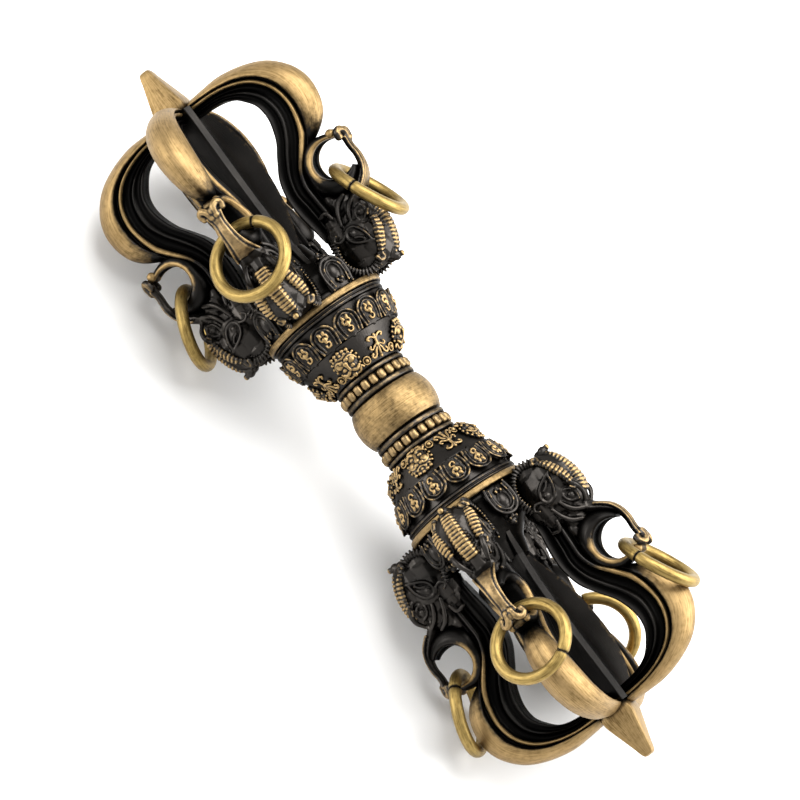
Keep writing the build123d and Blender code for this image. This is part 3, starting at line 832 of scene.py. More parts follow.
def quartered(s, run):
    """Ring of points at s from the (across, up, rub) run of a quarter, mirrored, then turned half round."""
    half = run + [(-a, b, rub_and_shade) for a, b, rub_and_shade in run[::-1]]
    return [(s, a, b, rub_and_shade) for a, b, rub_and_shade in half + [(-a, -b, rub_and_shade) for a, b, rub_and_shade in half]]


def make_centre_prongs():
    """Dark hollow-ground spear blade, flat along its ridges, with a brushed brass spike."""
    # Half width of the flat ridge and half thickness of the edge
    flat, thin = 0.78, 0.3
    # Hollow grind from the edge to the ridge: place between them, depth, rub, falling below FLAT_RUB as
    # painted shade deep in the hollow
    grind = ((0.6, 0.86, 0.12), (0.25, 0.78, 0.1), (-0.1, 0.77, 0.09), (-0.45, 0.82, 0.08),
             (-0.75, 0.91, 0.06))
    rings = []
    for s, edge, ridge in flow(BLADE_ROWS, 56):
        hollow = [((edge + flat) / 2 * k + (edge - flat) / 2 * t,
                   (thin + ridge) / 2 * k - (ridge - thin) / 2 * t, rub_and_shade)
                  for t, k, rub_and_shade in grind]
        run = [(edge, thin, 0.32)] + hollow + [(flat, ridge - 0.1, 0.16), (flat - 0.15, ridge, 0.12)]
        rings.append(quartered(s, run))
    blade = skin("blade", rings)
    rings = []
    for s, half, corner, rub_and_shade in flow(SPIKE_ROWS, 44):
        ring = []
        cut = corner / half
        for turn in (math.radians(90 * quarter) for quarter in range(4)):
            for a, b in ((1.04, 0.0), (1.03, 0.45), (1.0, 1 - cut), (1 - 0.3 * cut, 1 - 0.3 * cut),
                         (1 - cut, 1.0), (0.45, 1.03)):
                a, b = a * half, b * half
                ring.append((s, a * math.cos(turn) - b * math.sin(turn),
                             a * math.sin(turn) + b * math.cos(turn), rub_and_shade))
        rings.append(ring)
    spike = skin("spike", rings)
    for part in (blade, spike):
        fix_normals(part)
        smooth(part, 32)
    for side, end in ENDS.items():
        pieces = copies(blade, ["blade"], [stand(end, 90)]) + copies(spike, ["spike"], [stand(end, 45)])
        whole = join(f"{side}_blade_and_spike", pieces)
        finish_piece(whole, "brushed", [f"{side}_centre_prong"])
    drop(blade)
    drop(spike)


# Loose rings

# Where each end's rings touch the hole and which way they hang from there, in degrees
RING_REST = {"left": (213, 158), "right": (20, 24)}
# Where each ring's cut is, in degrees round it from its outermost point
RING_CUTS = {"left_top_back": 100, "left_top_front": 215, "left_bottom_front": 150, "left_bottom_back": 60,
             "right_top_back": 250, "right_top_front": 35, "right_bottom_front": 130,
             "right_bottom_back": 200}


def make_rings():
    """Loose rings of round brass wire, each bent round and left with a fine cut."""
    radius, wire, steps = 7.3, 1.2, 97
    gap = settings().ring_gap / MM
    for side, end in ENDS.items():
        seat, lean = (math.radians(v) for v in RING_REST[side])
        reach = HOOK_RADIUS - 0.8 - wire
        centre = np.array((HOOK[0] + reach * math.cos(seat) + radius * math.cos(lean), 0,
                           HOOK[1] + reach * math.sin(seat) + radius * math.sin(lean)))
        hanging = np.array((math.cos(lean), 0, math.sin(lean)))
        square = np.array((-math.sin(lean), 0, math.cos(lean)))
        for spot, angle in PRONGS.items():
            rings = []
            cut = math.radians(RING_CUTS[f"{side}_{spot}"])
            half_gap = gap / 2 / radius
            for k, turn in enumerate(np.linspace(cut + half_gap, cut + 2 * math.pi - half_gap, steps)):
                towards = hanging * math.cos(turn) + np.array((0, 1, 0)) * math.sin(turn)
                # The cut ends are a little slimmer and still dark
                slim, rub_and_shade = (0.9, 0.2) if k in (0, steps - 1) else (1.0, 0.93)
                rings.append([(*(centre + towards * (radius + slim * wire * math.cos(a))
                                 + square * slim * wire * math.sin(a)), rub_and_shade)
                              for a in np.linspace(0, 2 * math.pi, 20, endpoint=False)])
            ring = skin(f"{side}_{spot}_wire_ring", rings)
            fix_normals(ring)
            ring.data.transform(stand(end, angle))
            smooth(ring, 50)
            finish_piece(ring, "wire", [f"{side}_{spot}_ring"], f"{side}_{spot}_loose_ring")


# Cast and chased pieces

def along_and_across(path, step):
    """Evenly spaced places along a path of (x, y, z), with the direction of the run at each."""
    p = np.array(path, float)
    fine = flow(p, 200, knots=run_lengths(p))
    runs = run_lengths(fine)
    count = max(2, int(round(runs[-1] / step)) + 1)
    at = np.linspace(0, runs[-1], count)
    places = np.stack([np.interp(at, runs, fine[:, k]) for k in range(3)], axis=1)
    ahead = np.gradient(places, axis=0)
    return places, ahead / np.linalg.norm(ahead, axis=1)[:, None]


def ribbed(clay, path, half_widths, step, radius, up, rubs):
    """Short rods laid side by side across a path, as on a ram's horn."""
    places, ahead = along_and_across(path, step)
    up = np.array(up, float)
    for k, (place, run) in enumerate(zip(places, ahead)):
        side = np.cross(up, run)
        side /= np.linalg.norm(side)
        crown = np.cross(run, side)
        half, rub_and_shade = (np.interp(k / (len(places) - 1), np.linspace(0, 1, len(row)), row)
                     for row in (half_widths, rubs))
        ends = [place - side * half - crown * 0.55 * half, place - side * half * 0.75, place,
                place + side * half * 0.75, place + side * half - crown * 0.55 * half]
        clay.wire(ends, radius, 9, rub_and_shade, up=run)


def makara_head():
    """Makara head with a ribbed ridge and horns, leaf ears, a toothed mane and a raised trunk."""
    clay = Clay()
    # Skull, brows, snout, cheeks and jaw
    clay.lump((28.2, 0, 14.8), (5.4, 4.2, 5.9))
    clay.lump((27.4, 0, 16.4), (4.5, 4.5, 3.6))
    clay.lump((29.0, 0, 17.4), (3.6, 4.3, 2.8))
    clay.lump((25.2, 0, 13.4), (2.2, 3.8, 4.2))
    clay.lump((31.6, 0, 17.0), (4.0, 3.6, 3.6))
    clay.lump((32.6, 0, 15.6), (3.9, 3.5, 4.4))
    clay.lump((31.4, 0, 12.2), (4.8, 3.7, 3.6))
    clay.lump((35.0, 0, 16.8), (2.6, 2.9, 3.0))
    clay.lump((34.2, 0, 12.2), (2.8, 3.2, 2.6))
    # Thick gold rolls over the crown, on a crest with small dark ribs down each side
    crest = [(23.3, 0, 17.8), (24.4, 0, 19.2), (26.4, 0, 20.3), (29.0, 0, 21.0), (31.6, 0, 21.1),
             (33.2, 0, 20.6)]
    clay.strip([(x, y, z - 0.95, 1.5, 1.0) for x, y, z in crest], 30)
    clay.strip([(33.0, 0, 19.6, 1.4, 1.0), (34.6, 0, 19.2, 1.4, 0.9), (36.0, 0, 18.9, 1.6, 0.9)], 10)
    ribbed(clay, crest, [1.0, 1.25, 1.4, 1.35], 0.8, 0.37, (0, 0, 1), [0.6, 1.0, 1.0, 1.0])
    for sign in (1, -1):
        places, _ = along_and_across([(x, sign * 1.75, z - 1.3) for x, _, z in crest], 0.62)
        for place in places:
            clay.lump(place, (0.22, 0.34, 0.55), rub_and_shade=0.1)
    # Knob with a bright bead at the back of the ridge
    clay.lump((23.0, 0, 17.9), (1.0, 1.1, 1.0), rub_and_shade=0.2)
    clay.lump((22.75, 0, 19.0), (0.62, 0.62, 0.55), rub_and_shade=0.85)
    # Curved ribbed horns, hooked at the back, with a curl at the front
    for sign in (1, -1):
        horn = [(24.6, sign * 3.3, 16.8), (25.7, sign * 4.0, 18.0), (27.3, sign * 4.15, 18.9),
                (29.0, sign * 3.9, 19.6),
                (30.8, sign * 3.6, 19.8)]
        clay.strip([(x, y * 0.93, z - 0.7, 0.6, 0.7) for x, y, z in horn], 26, 0.0)
        ribbed(clay, horn, [0.55, 0.8, 0.85, 0.6], 0.78, 0.34, (0, sign * 0.45, 0.9), [0.5, 0.95, 1.0, 0.6])
        clay.wire([(31.0, sign * 3.7, 19.5), (32.1, sign * 3.4, 20.0), (32.6, sign * 3.8, 19.6),
                   (32.0, sign * 4.2, 19.1)], 0.32, 12, 0.5)
    clay.both("wire", [(24.6, 3.5, 16.7), (23.8, 3.0, 16.5), (23.6, 3.6, 15.8), (24.3, 4.1, 15.7)], 0.5, 12,
              0.6)
    # Leaf ears: a flat cheek, a raised outline drawn to a point at the back and a pearl inside
    for sign in (1, -1):
        clay.lump((30.0, sign * 3.1, 14.9), (3.3, 1.25, 3.0))
        clay.lump((30.7, sign * 4.2, 14.5), (0.62, 0.45, 0.62), rub_and_shade=0.16)
    ear = [(27.5, 4.35, 17.0), (29.2, 4.45, 16.8), (30.6, 4.35, 16.3), (31.7, 4.15, 15.4),
           (31.9, 4.05, 14.1), (30.9, 4.2, 13.3),
           (29.5, 4.35, 13.6), (28.5, 4.4, 14.7), (27.9, 4.4, 15.9), (27.3, 4.3, 17.2)]
    clay.both("wire", ear, 0.3, 44, 0.3, up=(0, 1, 0))
    clay.both("wire", [(28.6, 4.4, 16.0), (29.4, 4.45, 15.3), (29.7, 4.45, 14.6)], 0.26, 12, 0.14,
              up=(0, 1, 0))
    # Almond eyes between two lids, under a heavy brow
    for sign in (1, -1):
        clay.lump((33.1, sign * 2.65, 18.0), (1.75, 0.75, 1.3), turn=-30)
        clay.lump((33.1, sign * 3.3, 18.1), (0.66, 0.5, 0.66), rub_and_shade=0.2)
    clay.both("wire", [(31.5, 3.2, 17.2), (32.0, 3.45, 18.5), (33.0, 3.45, 19.2), (34.5, 3.0, 18.9)], 0.27,
              16, 0.2, up=(0, 1, 0))
    clay.both("wire", [(31.5, 3.2, 17.2), (32.7, 3.5, 16.9), (33.9, 3.4, 17.4), (34.5, 3.0, 18.9)], 0.24,
              16, 0.16, up=(0, 1, 0))
    clay.both("strip", [(30.6, 3.4, 18.6, 0.5, 0.45), (32.0, 3.3, 20.0, 0.65, 0.55),
                        (33.8, 2.8, 20.3, 0.6, 0.5), (35.4, 2.1, 19.5, 0.4, 0.4)],
              16, 0.1)
    # Nostrils, two soft folds round the snout and the open lips
    for sign in (1, -1):
        clay.lump((36.2, sign * 1.9, 18.9), (0.9, 0.8, 0.7), rub_and_shade=0.12)
    clay.both("strip", [(36.4, 2.5, 18.4, 0.45, 0.45), (35.4, 3.1, 16.9, 0.5, 0.5),
                        (33.8, 3.4, 15.9, 0.45, 0.45), (32.6, 3.4, 15.5, 0.3, 0.3)],
              18, 0.12)
    clay.both("strip", [(37.8, 2.5, 17.0, 0.5, 0.5), (37.0, 3.0, 15.5, 0.6, 0.55),
                        (35.4, 3.4, 14.4, 0.6, 0.5), (33.2, 3.55, 13.6, 0.4, 0.4)],
              20, 0.12)
    clay.both("strip", [(36.8, 3.0, 11.0, 0.4, 0.4), (37.0, 3.2, 12.4, 0.45, 0.5),
                        (35.4, 3.4, 13.0, 0.4, 0.4)], 14, 0.1)
    # Throat between the mouth, the trunk and the curl of the prong
    clay.lump((36.8, 0, 15.4), (2.6, 2.7, 2.9))
    clay.lump((38.4, 0, 14.2), (2.2, 2.5, 1.8))
    # Mane: a toothed fringe down the back and under the cheek
    for sign in (1, -1):
        fringe = [(24.3, sign * 3.2, 16.2), (23.4, sign * 3.4, 14.8), (23.2, sign * 3.5, 13.0),
                  (23.8, sign * 3.7, 11.4),
                  (25.2, sign * 3.9, 10.2), (27.2, sign * 4.0, 9.6), (29.4, sign * 4.0, 9.7),
                  (31.2, sign * 4.0, 10.4)]
        places, ahead = along_and_across(fringe, 0.72)
        for place, run in zip(places, ahead):
            lean = math.degrees(math.atan2(run[0], run[2]))
            clay.lump(place, (0.95, 0.5, 0.29), turn=lean, rub_and_shade=0.16)
    # Whisker curls behind the mouth
    clay.both("wire", [(31.8, 3.9, 13.4), (30.9, 4.2, 12.6), (30.8, 4.3, 11.4), (31.7, 4.2, 10.9),
                       (32.2, 4.2, 11.6)], 0.28, 16, 0.12,
              up=(0, 1, 0))
    # Trunk: a strap that rises from the snout, narrows over the hole and ends in a forked lobe
    trunk = [(34.6, 0, 17.6, 2.8, 1.4), (36.7, 0, 19.0, 2.8, 1.3), (38.2, 0, 21.0, 2.1, 1.0),
             (40.0, 0, 22.7, 1.5, 0.75),
             (42.4, 0, 23.3, 1.2, 0.6), (44.8, 0, 23.2, 1.15, 0.55), (46.6, 0, 23.4, 1.7, 0.6),
             (47.4, 0, 23.4, 2.0, 0.55)]
    clay.strip(trunk, 48, 0.1)
    face = [(37.2, 20.9, 2.1), (37.9, 21.8, 1.8), (38.9, 22.75, 1.45), (40.4, 23.5, 1.15),
            (42.5, 23.9, 1.0), (44.8, 23.75, 0.95), (46.4, 23.95, 1.3)]
    clay.strip([(x, 0, z, w, 0.4) for x, z, w in face], 44, 0.85)
    clay.both("wire", [(36.9, 2.5, 20.4), (37.8, 2.2, 21.6), (38.8, 1.85, 22.6), (40.4, 1.45, 23.4),
                       (42.5, 1.25, 23.75), (44.8, 1.15, 23.6),
                       (46.3, 1.5, 23.8)], 0.3, 30, 0.6)
    # Forked lobe: two short thick scrolls side by side
    clay.both("wire", [(46.2, 0.5, 24.0), (47.6, 0.9, 24.1), (48.2, 1.7, 23.7), (47.8, 2.3, 23.2),
                       (46.9, 2.1, 23.0)], 0.76, 18, 0.8)
    clay.lump((47.0, 0, 24.0), (1.0, 1.1, 0.8), rub_and_shade=0.85)
    return clay.cast("head_master", 0.14, wear=0.8, side_rub=0.35)


def make_heads():
    """The eight makara heads."""
    finish_eight(makara_head(), "makara_head", "cast", "head")


def band_bend(start, stop):
    """Lays relief made flat (x along, y across, z up) on a cone from start to stop, both (along, radius)."""
    run = np.array(stop, float) - np.array(start, float)
    run /= np.linalg.norm(run)
    middle = (start[1] + stop[1]) / 2

    def bend(p):
        along = start[0] + p[:, 0] * run[0] - p[:, 2] * run[1]
        radius = start[1] + p[:, 0] * run[1] + p[:, 2] * run[0]
        turn = p[:, 1] / middle
        return np.stack([along, radius * np.sin(turn), radius * np.cos(turn)], axis=1)
    return bend


MASK_BAND = ((8.7, 7.2), (14.9, 10.7))
LOTUS_BAND = ((14.9, 10.6), (20.2, 11.6))


def lion_mask():
    """Lion mask: crown and brow towards the grip, pearl teeth towards the tip, beaded mane."""
    clay = Clay()
    clay.lump((3.4, 0, 0.1), (2.7, 1.95, 0.75), rub_and_shade=0.1)
    clay.lump((2.6, 0, 0.5), (1.6, 1.5, 0.6), rub_and_shade=0.5)
    clay.lump((1.1, 0, 0.5), (0.65, 0.5, 0.45), rub_and_shade=0.95)
    clay.both("wire", [(0.9, 0.3, 0.5), (0.9, 1.1, 0.5), (1.6, 1.7, 0.5), (1.2, 2.0, 0.4)], 0.24, 14, 0.9)
    clay.both("strip", [(2.2, 0.2, 0.95, 0.3, 0.25), (1.75, 0.85, 1.0, 0.32, 0.28),
                        (2.1, 1.55, 0.8, 0.26, 0.24)], 12, 0.95)
    for sign in (1, -1):
        clay.lump((2.75, sign * 0.72, 0.95), (0.36, 0.4, 0.3), rub_and_shade=0.75)
        clay.lump((3.75, sign * 0.95, 0.7), (0.75, 0.68, 0.5), rub_and_shade=0.85)
        clay.lump((4.2, sign * 0.42, 0.95), (0.38, 0.42, 0.34), rub_and_shade=0.95)
    clay.strip([(2.2, 0, 1.0, 0.24, 0.25), (3.1, 0, 1.2, 0.26, 0.3), (3.8, 0, 1.3, 0.42, 0.34)], 10, 0.98)
    clay.both("wire", [(4.1, 0.15, 1.1), (4.5, 0.9, 0.85), (4.1, 1.5, 0.7), (3.4, 1.75, 0.6)], 0.2, 14, 0.85)
    clay.both("wire", [(4.7, 0.0, 0.75), (4.9, 0.8, 0.6), (4.5, 1.5, 0.5)], 0.2, 12, 0.7)
    for y in np.linspace(-1.3, 1.3, 5):
        clay.lump((5.75 - 0.22 * abs(y), y, 0.35), (0.32, 0.27, 0.35), rub_and_shade=0.95)
        clay.lump((5.2 - 0.2 * abs(y), y, 0.6), (0.24, 0.2, 0.24), rub_and_shade=0.85)
    for turn in np.linspace(-2.5, 2.5, 15):
        clay.lump((3.3 - 2.5 * math.cos(turn) * 0.95, 2.15 * math.sin(turn), 0.25), (0.27, 0.27, 0.32),
                  rub_and_shade=0.62)
    wrap = band_bend(*MASK_BAND)
    middle = np.array((3.1, 0, 0))
    return clay.cast("mask_master", 0.085, bend=lambda p: wrap((p - middle) * (1.12, 1.18, 1.15) + middle))


def scroll_spray():
    """Scroll ornament: three plumes with curled ends on a stem with a spread foot."""
    clay = Clay()
    clay.wire([(5.0, 0, 0.15), (3.4, 0, 0.3), (2.2, 0, 0.3), (0.9, 0, 0.3)], 0.3, 16, 0.9)
    clay.lump((0.75, 0, 0.3), (0.4, 0.42, 0.35), rub_and_shade=0.95)
    clay.lump((3.1, 0, 0.3), (0.4, 0.6, 0.36), rub_and_shade=0.95)
    clay.both("wire", [(3.0, 0.1, 0.25), (2.1, 0.75, 0.3), (1.2, 1.15, 0.3), (0.9, 1.75, 0.3),
                       (1.4, 2.05, 0.3), (1.75, 1.7, 0.3)],
              0.27, 20, 0.92)
    clay.both("wire", [(3.3, 0.1, 0.25), (2.9, 0.8, 0.3), (2.5, 1.45, 0.3), (2.8, 1.8, 0.3),
                       (3.2, 1.55, 0.3)], 0.21, 16, 0.85)
    clay.both("wire", [(4.2, 0.0, 0.25), (4.7, 0.5, 0.3), (5.0, 1.2, 0.3), (4.7, 1.6, 0.3),
                       (4.35, 1.35, 0.3)], 0.24, 16, 0.9)
    return clay.cast("scroll_master", 0.1, bend=band_bend(*MASK_BAND))


def ringed_pearl():
    """Pearl in a raised ring."""
    clay = Clay()
    clay.lump((1.3, 0, 0.2), (0.45, 0.45, 0.45), rub_and_shade=0.95)
    ring = [(1.3 + 0.78 * math.cos(a), 0.78 * math.sin(a), 0.12) for a in np.linspace(0, 2 * math.pi, 12,
        endpoint=False)]
    clay.wire(ring, 0.17, 24, 0.4, closed=True)
    return clay.cast("pearl_master", 0.1, bend=band_bend(*MASK_BAND))


def make_mask_band(side, end, mask, scroll, pearl):
    """Flaring band with four lion masks, four scrolls and eight ringed pearls."""
    (s0, r0), (s1, r1) = MASK_BAND
    outline = [(s0, BORE), (s0, r0 - 0.3), (s0 + 0.25, r0), (s0 + 0.6, r0 + 0.05), (s1 - 0.3, r1),
               (s1, r1 - 0.35), (s1, BORE)]
    cone = turn_round("cone", rounded(outline, 0.15), end, rub_and_shade=FLAT_RUB)
    parts = [cone]
    for angle in PRONGS.values():
        parts += copies(mask, ["mask"], [stand(end, angle)])
        parts += copies(scroll, ["scroll"], [stand(end, angle + 45)])
        parts += copies(pearl, ["pearl", "pearl"], [stand(end, angle + 22.5), stand(end, angle - 22.5)])
    band = join(f"{side}_lion_mask_band", parts)
    finish_piece(band, "cast", [f"{side}_mask_band"])


def petal_outline(width, length, start=0.0):
    """Outline of a petal with a small cusp at its middle, as (x, y) from its root round its end."""
    half = width / 2
    tip = start + length
    side = [(start, half * 0.86), (start + length * 0.45, half), (tip - half * 0.55, half * 0.9),
            (tip - 0.12, half * 0.42)]
    return side + [(tip + 0.12, 0)] + [(x, -y) for x, y in side[::-1]]


def lotus_petal():
    """Lotus petal with a double outline and a small seated figure worked as a bud on a curled stem."""
    clay = Clay()
    clay.strip([(-0.2, 0, 0.05, 2.2, 0.45), (1.8, 0, 0.15, 2.35, 0.55), (3.6, 0, 0.3, 2.2, 0.6),
                (4.6, 0, 0.35, 1.3, 0.5)], 16, 0.05)
    clay.wire([(x, y, 0.5 + 0.09 * x) for x, y in petal_outline(4.5, 4.75, 0.1)], 0.24, 44, 0.26)
    clay.wire([(x, y, 0.55 + 0.09 * x) for x, y in petal_outline(3.0, 3.9, 0.35)], 0.17, 40, 0.16)
    clay.wire([(1.9, 0.1, 0.75), (1.4, -0.5, 0.75), (0.8, -0.3, 0.75), (0.75, 0.35, 0.75),
               (1.2, 0.5, 0.75)], 0.2, 16, 0.95)
    clay.lump((2.35, 0, 0.85), (0.55, 0.5, 0.5), rub_and_shade=1.0)
    clay.lump((1.75, 0, 0.9), (0.3, 0.3, 0.3), rub_and_shade=1.0)
    clay.both("wire", [(2.1, 0.3, 0.85), (2.6, 0.75, 0.85), (3.1, 0.6, 0.9)], 0.2, 10, 0.9)
    for sign in (1, -1):
        clay.lump((3.45, sign * 0.42, 0.95), (0.5, 0.3, 0.3), tilt=sign * 18, rub_and_shade=1.0)
    return clay.cast("petal_master", 0.115, bend=band_bend(*LOTUS_BAND))


def make_lotus_band(side, end, petal):
    """Band of fourteen lotus petals with a plain turned flange."""
    (s0, r0), (s1, r1) = LOTUS_BAND
    outline = [(s0, BORE), (s0, r0 - 0.5), (s0 + 0.2, r0 - 0.25), (s1, r1 - 0.3), (s1 + 0.15, 11.4),
               (s1 + 0.3, 11.9), (s1 + 0.75, 12.0), (s1 + 0.9, 11.75), (s1 + 1.1, 11.75), (s1 + 1.25, 12.0),
               (21.7, 11.95), (21.8, 11.6), (21.8, BORE)]
    cone = turn_round("cone", rounded(outline, 0.1), end)
    # Painted shade at the foot of the flange and in its groove, below FLAT_RUB; the flange's top rubbed
    # bright
    set_rub_and_shade(cone, np.interp(radii(cone), [11.5, 11.7, 11.88, 11.99], [FLAT_RUB, 0.03, 0.12, 0.34]))
    smooth(cone, 40)
    turns = [PRONGS["top_front"] + 360 / PETALS * i for i in range(PETALS)]
    parts = [cone] + copies(petal, [f"petal_{i}" for i in range(PETALS)],
                            [stand(end, turn) for turn in turns])
    band = join(f"{side}_lotus_petal_band", parts)
    finish_piece(band, "cast", [f"{side}_lotus_band"])


def corner_petal():
    """Upright petal between two heads: double outline, a bossed middle, a trefoil and bead drops."""
    clay = Clay()
    s, r = 23.4, 10.4
    clay.strip([(s, 0, r + 0.2, 2.4, 0.8), (s + 2.5, 0, r + 0.7, 2.7, 0.9), (s + 4.6, 0, r + 0.9, 2.3, 0.8),
                (s + 5.9, 0, r + 0.8, 1.2, 0.6)],
               18, 0.05)
    clay.wire([(s + x, y, r + 1.35 + 0.05 * x) for x, y in petal_outline(5.4, 5.9, 0.15)], 0.34, 46, 0.14)
    clay.wire([(s + x, y, r + 1.5 + 0.05 * x) for x, y in petal_outline(3.9, 4.7, 0.6)], 0.24, 40, 0.14)
    clay.lump((s + 3.3, 0, r + 1.5), (1.5, 1.15, 0.7), rub_and_shade=0.1)
    clay.lump((s + 0.9, 0, r + 1.75), (0.5, 0.42, 0.4), rub_and_shade=0.14)
    for sign in (1, -1):
        clay.lump((s + 1.45, sign * 0.55, r + 1.7), (0.45, 0.36, 0.38), rub_and_shade=0.14)
        clay.lump((s + 6.9, sign * 0.75, r + 0.6), (0.45, 0.42, 0.5), rub_and_shade=0.13)
    clay.lump((s + 6.6, 0, r + 0.7), (0.5, 0.45, 0.5), rub_and_shade=0.13)
    clay.lump((s + 7.8, 0, r + 0.1), (0.45, 0.42, 0.5), rub_and_shade=0.13)
    clay.lump((s + 6.2, 0, r - 0.1), (2.0, 1.3, 0.8), rub_and_shade=0.0)
    return clay.cast("corner_master", 0.13)


def make_corner_leaves(side, end, leaf):
    """The four upright petals between the heads of an end."""
    parts = copies(leaf, [f"leaf_{angle}" for angle in CORNER_ANGLES],
                   [stand(end, angle) for angle in CORNER_ANGLES])
    leaves = join(f"{side}_upright_petals", parts)
    finish_piece(leaves, "cast", [f"{side}_corner_leaves"])


def make_bands():
    """Mask bands, lotus bands and upright petals of both ends."""
    masters = [make() for make in (lion_mask, scroll_spray, ringed_pearl, lotus_petal, corner_petal)]
    mask, scroll, pearl, petal, leaf = masters
    for side, end in ENDS.items():
        make_mask_band(side, end, mask, scroll, pearl)
        make_lotus_band(side, end, petal)
        make_corner_leaves(side, end, leaf)
    for master in masters:
        drop(master)


def make_stage():
    """Floor, soft lamps, world and the camera at the photograph's angle."""
    deselect()
    # Just below the lowest prongs and rings
    bpy.ops.mesh.primitive_plane_add(size=3.0, location=(0, 0, -0.0236))
    floor = bpy.context.object
    floor.name = "pale_floor"
    settle(floor)
    material = bpy.data.materials.new("matt_white_table")
    material.use_nodes = True
    shader = material.node_tree.nodes["Principled BSDF"]
    shader.inputs["Base Color"].default_value = linear(settings().floor)
    shader.inputs["Roughness"].default_value = 0.6
    floor.data.materials.append(material)

    camera_data = bpy.data.cameras.new("camera")
    camera = bpy.data.objects.new("camera", camera_data)
    bpy.context.collection.objects.link(camera)
    bpy.context.scene.camera = camera
    # The axis falls to the right in the frame, with its right end dipped towards the camera
    dip, roll = math.radians(9), math.radians(13)
    c, s = math.cos(dip), math.sin(dip)
    along = Vector((0.596 * c, -0.803 * c, s))
    across = Vector((0.803, 0.596, 0))
    towards = along.cross(across)
    right = math.cos(roll) * across + math.sin(roll) * towards
    front = math.cos(roll) * towards - math.sin(roll) * across
    axes = Matrix((along, (right - front).normalized(), (right + front).normalized()))
    distance = 3.0
    sensor = 36
    camera_data.sensor_width = sensor
    camera_data.lens = sensor * distance / (FRAME_SIDE / PIXELS_PER_MM * MM)
    camera_data.clip_end = 10
    back = axes @ Vector((0, 0, 1))
    # The middle of the frame lies 4 pixels right of the grip and 12 above it
    offset = axes @ Vector((4 / PIXELS_PER_MM * MM, 12 / PIXELS_PER_MM * MM, 0))
    camera.matrix_world = Matrix.Translation(back * distance + offset) @ axes.to_4x4()

    view_up = axes @ Vector((0, 1, 0))
    view_right = axes @ Vector((1, 0, 0))
    for name, direction, size, power in (
        ("overhead_softbox", Vector((0, 0.1, 1)) + 0.35 * view_up, 0.55, 8.0),
        ("left_softbox", back * 0.5 - view_right + 0.2 * view_up, 0.4, 3.2),
        ("right_softbox", back * 0.15 + view_right + view_up * 0.1, 0.6, 8.5),
    ):
        data = bpy.data.lights.new(name, "AREA")
        data.size = size
        data.energy = power
        lamp = bpy.data.objects.new(name, data)
        bpy.context.collection.objects.link(lamp)
        direction.normalize()
        aim = direction.to_track_quat("Z", "Y").to_matrix().to_4x4()
        lamp.matrix_world = Matrix.Translation(direction * 0.7) @ aim

    world = bpy.data.worlds.new("studio")
    world.use_nodes = True
    bpy.context.scene.world = world
    tree = world.node_tree
    tree.nodes.clear()
    path = node(tree, "ShaderNodeLightPath")
    soft = node(tree, "ShaderNodeBackground", {"Color": grey(0.9), "Strength": 0.55})
    white = node(tree, "ShaderNodeBackground", {"Color": grey(1.0), "Strength": 1.0})
    seen = path.outputs["Is Camera Ray"]
    for kind in ("Is Glossy Ray", "Is Transmission Ray"):
        seen = compute(tree, "MAXIMUM", seen, path.outputs[kind])
    mix = node(tree, "ShaderNodeMixShader", {0: seen, 1: soft.outputs[0], 2: white.outputs[0]})
    node(tree, "ShaderNodeOutputWorld", {"Surface": mix.outputs[0]})
    bpy.context.scene.view_settings.view_transform = "Standard"


# The add-on's buttons

class Steps:
    """Runs an operator's steps in their order."""

    def execute(self, context):
        for step in self.steps:
            step()
        return {"FINISHED"}


class VAJRA_OT_materials(Steps, bpy.types.Operator):
    """Makes the brass, patina, wire and steel materials"""
    bl_idname = "vajra.materials"
    bl_label = "Materials"
    steps = (make_materials,)


class VAJRA_OT_turned(Steps, bpy.types.Operator):
    """Builds the grip globe, the bead collars, the rims and the hubs"""
    bl_idname = "vajra.turned"
    bl_label = "Globe, Collars, Rims and Hubs"
    steps = (make_turned,)


class VAJRA_OT_bands(Steps, bpy.types.Operator):
    """Builds the mask bands, the lotus bands and the upright petals"""
    bl_idname = "vajra.bands"
    bl_label = "Chased Bands"
    steps = (make_bands,)


class VAJRA_OT_heads(Steps, bpy.types.Operator):
    """Builds the eight makara heads"""
    bl_idname = "vajra.heads"
    bl_label = "Makara Heads"
    steps = (make_heads,)


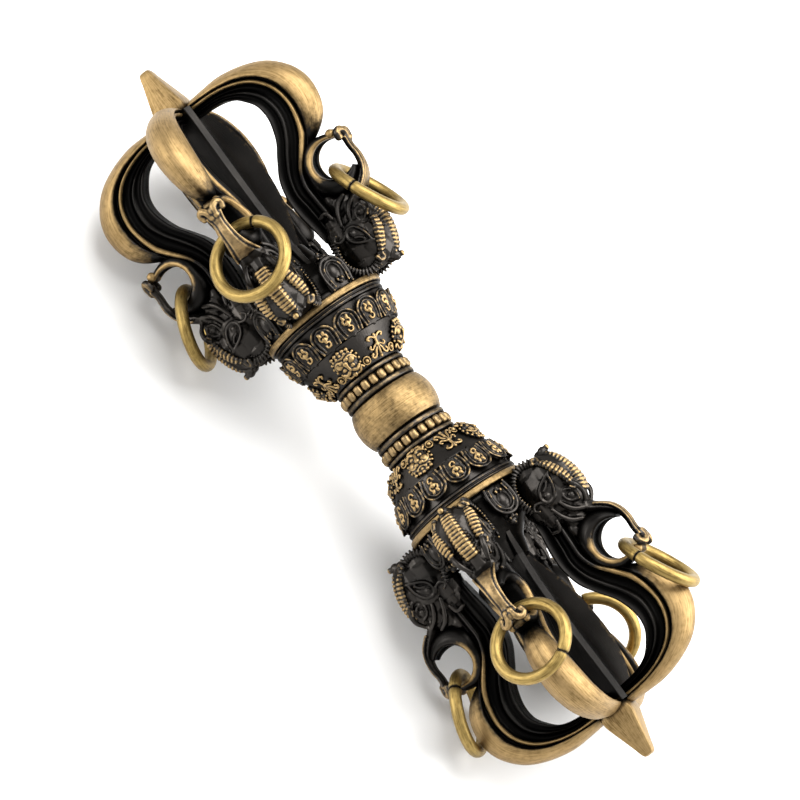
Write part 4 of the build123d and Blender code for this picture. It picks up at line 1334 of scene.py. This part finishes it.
class VAJRA_OT_prongs(Steps, bpy.types.Operator):
    """Builds the eight outer prongs and the two centre prongs"""
    bl_idname = "vajra.prongs"
    bl_label = "Prongs"
    steps = (make_prongs, make_centre_prongs)


class VAJRA_OT_rings(Steps, bpy.types.Operator):
    """Builds the eight loose rings"""
    bl_idname = "vajra.rings"
    bl_label = "Loose Rings"
    steps = (make_rings,)


class VAJRA_OT_rod(Steps, bpy.types.Operator):
    """Gives the hidden core rod its steel"""
    bl_idname = "vajra.rod"
    bl_label = "Core Rod"
    steps = (make_rod,)


class VAJRA_OT_stage(Steps, bpy.types.Operator):
    """Builds the floor, lamps, world and camera"""
    bl_idname = "vajra.stage"
    bl_label = "Stage"
    steps = (make_stage,)


class VAJRA_PT_panel(bpy.types.Panel):
    """Settings and buttons of the vajra in the sidebar"""
    bl_idname = "VAJRA_PT_panel"
    bl_label = "Dorje Vajra"
    bl_space_type = "VIEW_3D"
    bl_region_type = "UI"
    bl_category = "Vajra"

    def draw(self, context):
        for name in VajraSettings.__annotations__:
            self.layout.prop(context.scene.vajra, name)
        for operator in OPERATORS:
            self.layout.operator(operator.bl_idname)


OPERATORS = (VAJRA_OT_materials, VAJRA_OT_turned, VAJRA_OT_bands, VAJRA_OT_heads, VAJRA_OT_prongs,
             VAJRA_OT_rings,
             VAJRA_OT_rod, VAJRA_OT_stage)
CLASSES = (VajraSettings, *OPERATORS, VAJRA_PT_panel)


def register():
    for cls in CLASSES:
        bpy.utils.register_class(cls)
    bpy.types.Scene.vajra = bpy.props.PointerProperty(type=VajraSettings)


def unregister():
    del bpy.types.Scene.vajra
    for cls in reversed(CLASSES):
        bpy.utils.unregister_class(cls)


def main():
    register()
    bpy.ops.vajra.materials()
    bpy.ops.vajra.turned()
    bpy.ops.vajra.bands()
    bpy.ops.vajra.heads()
    bpy.ops.vajra.prongs()
    bpy.ops.vajra.rings()
    bpy.ops.vajra.rod()
    bpy.ops.vajra.stage()


if __name__ == "__main__":
    main()
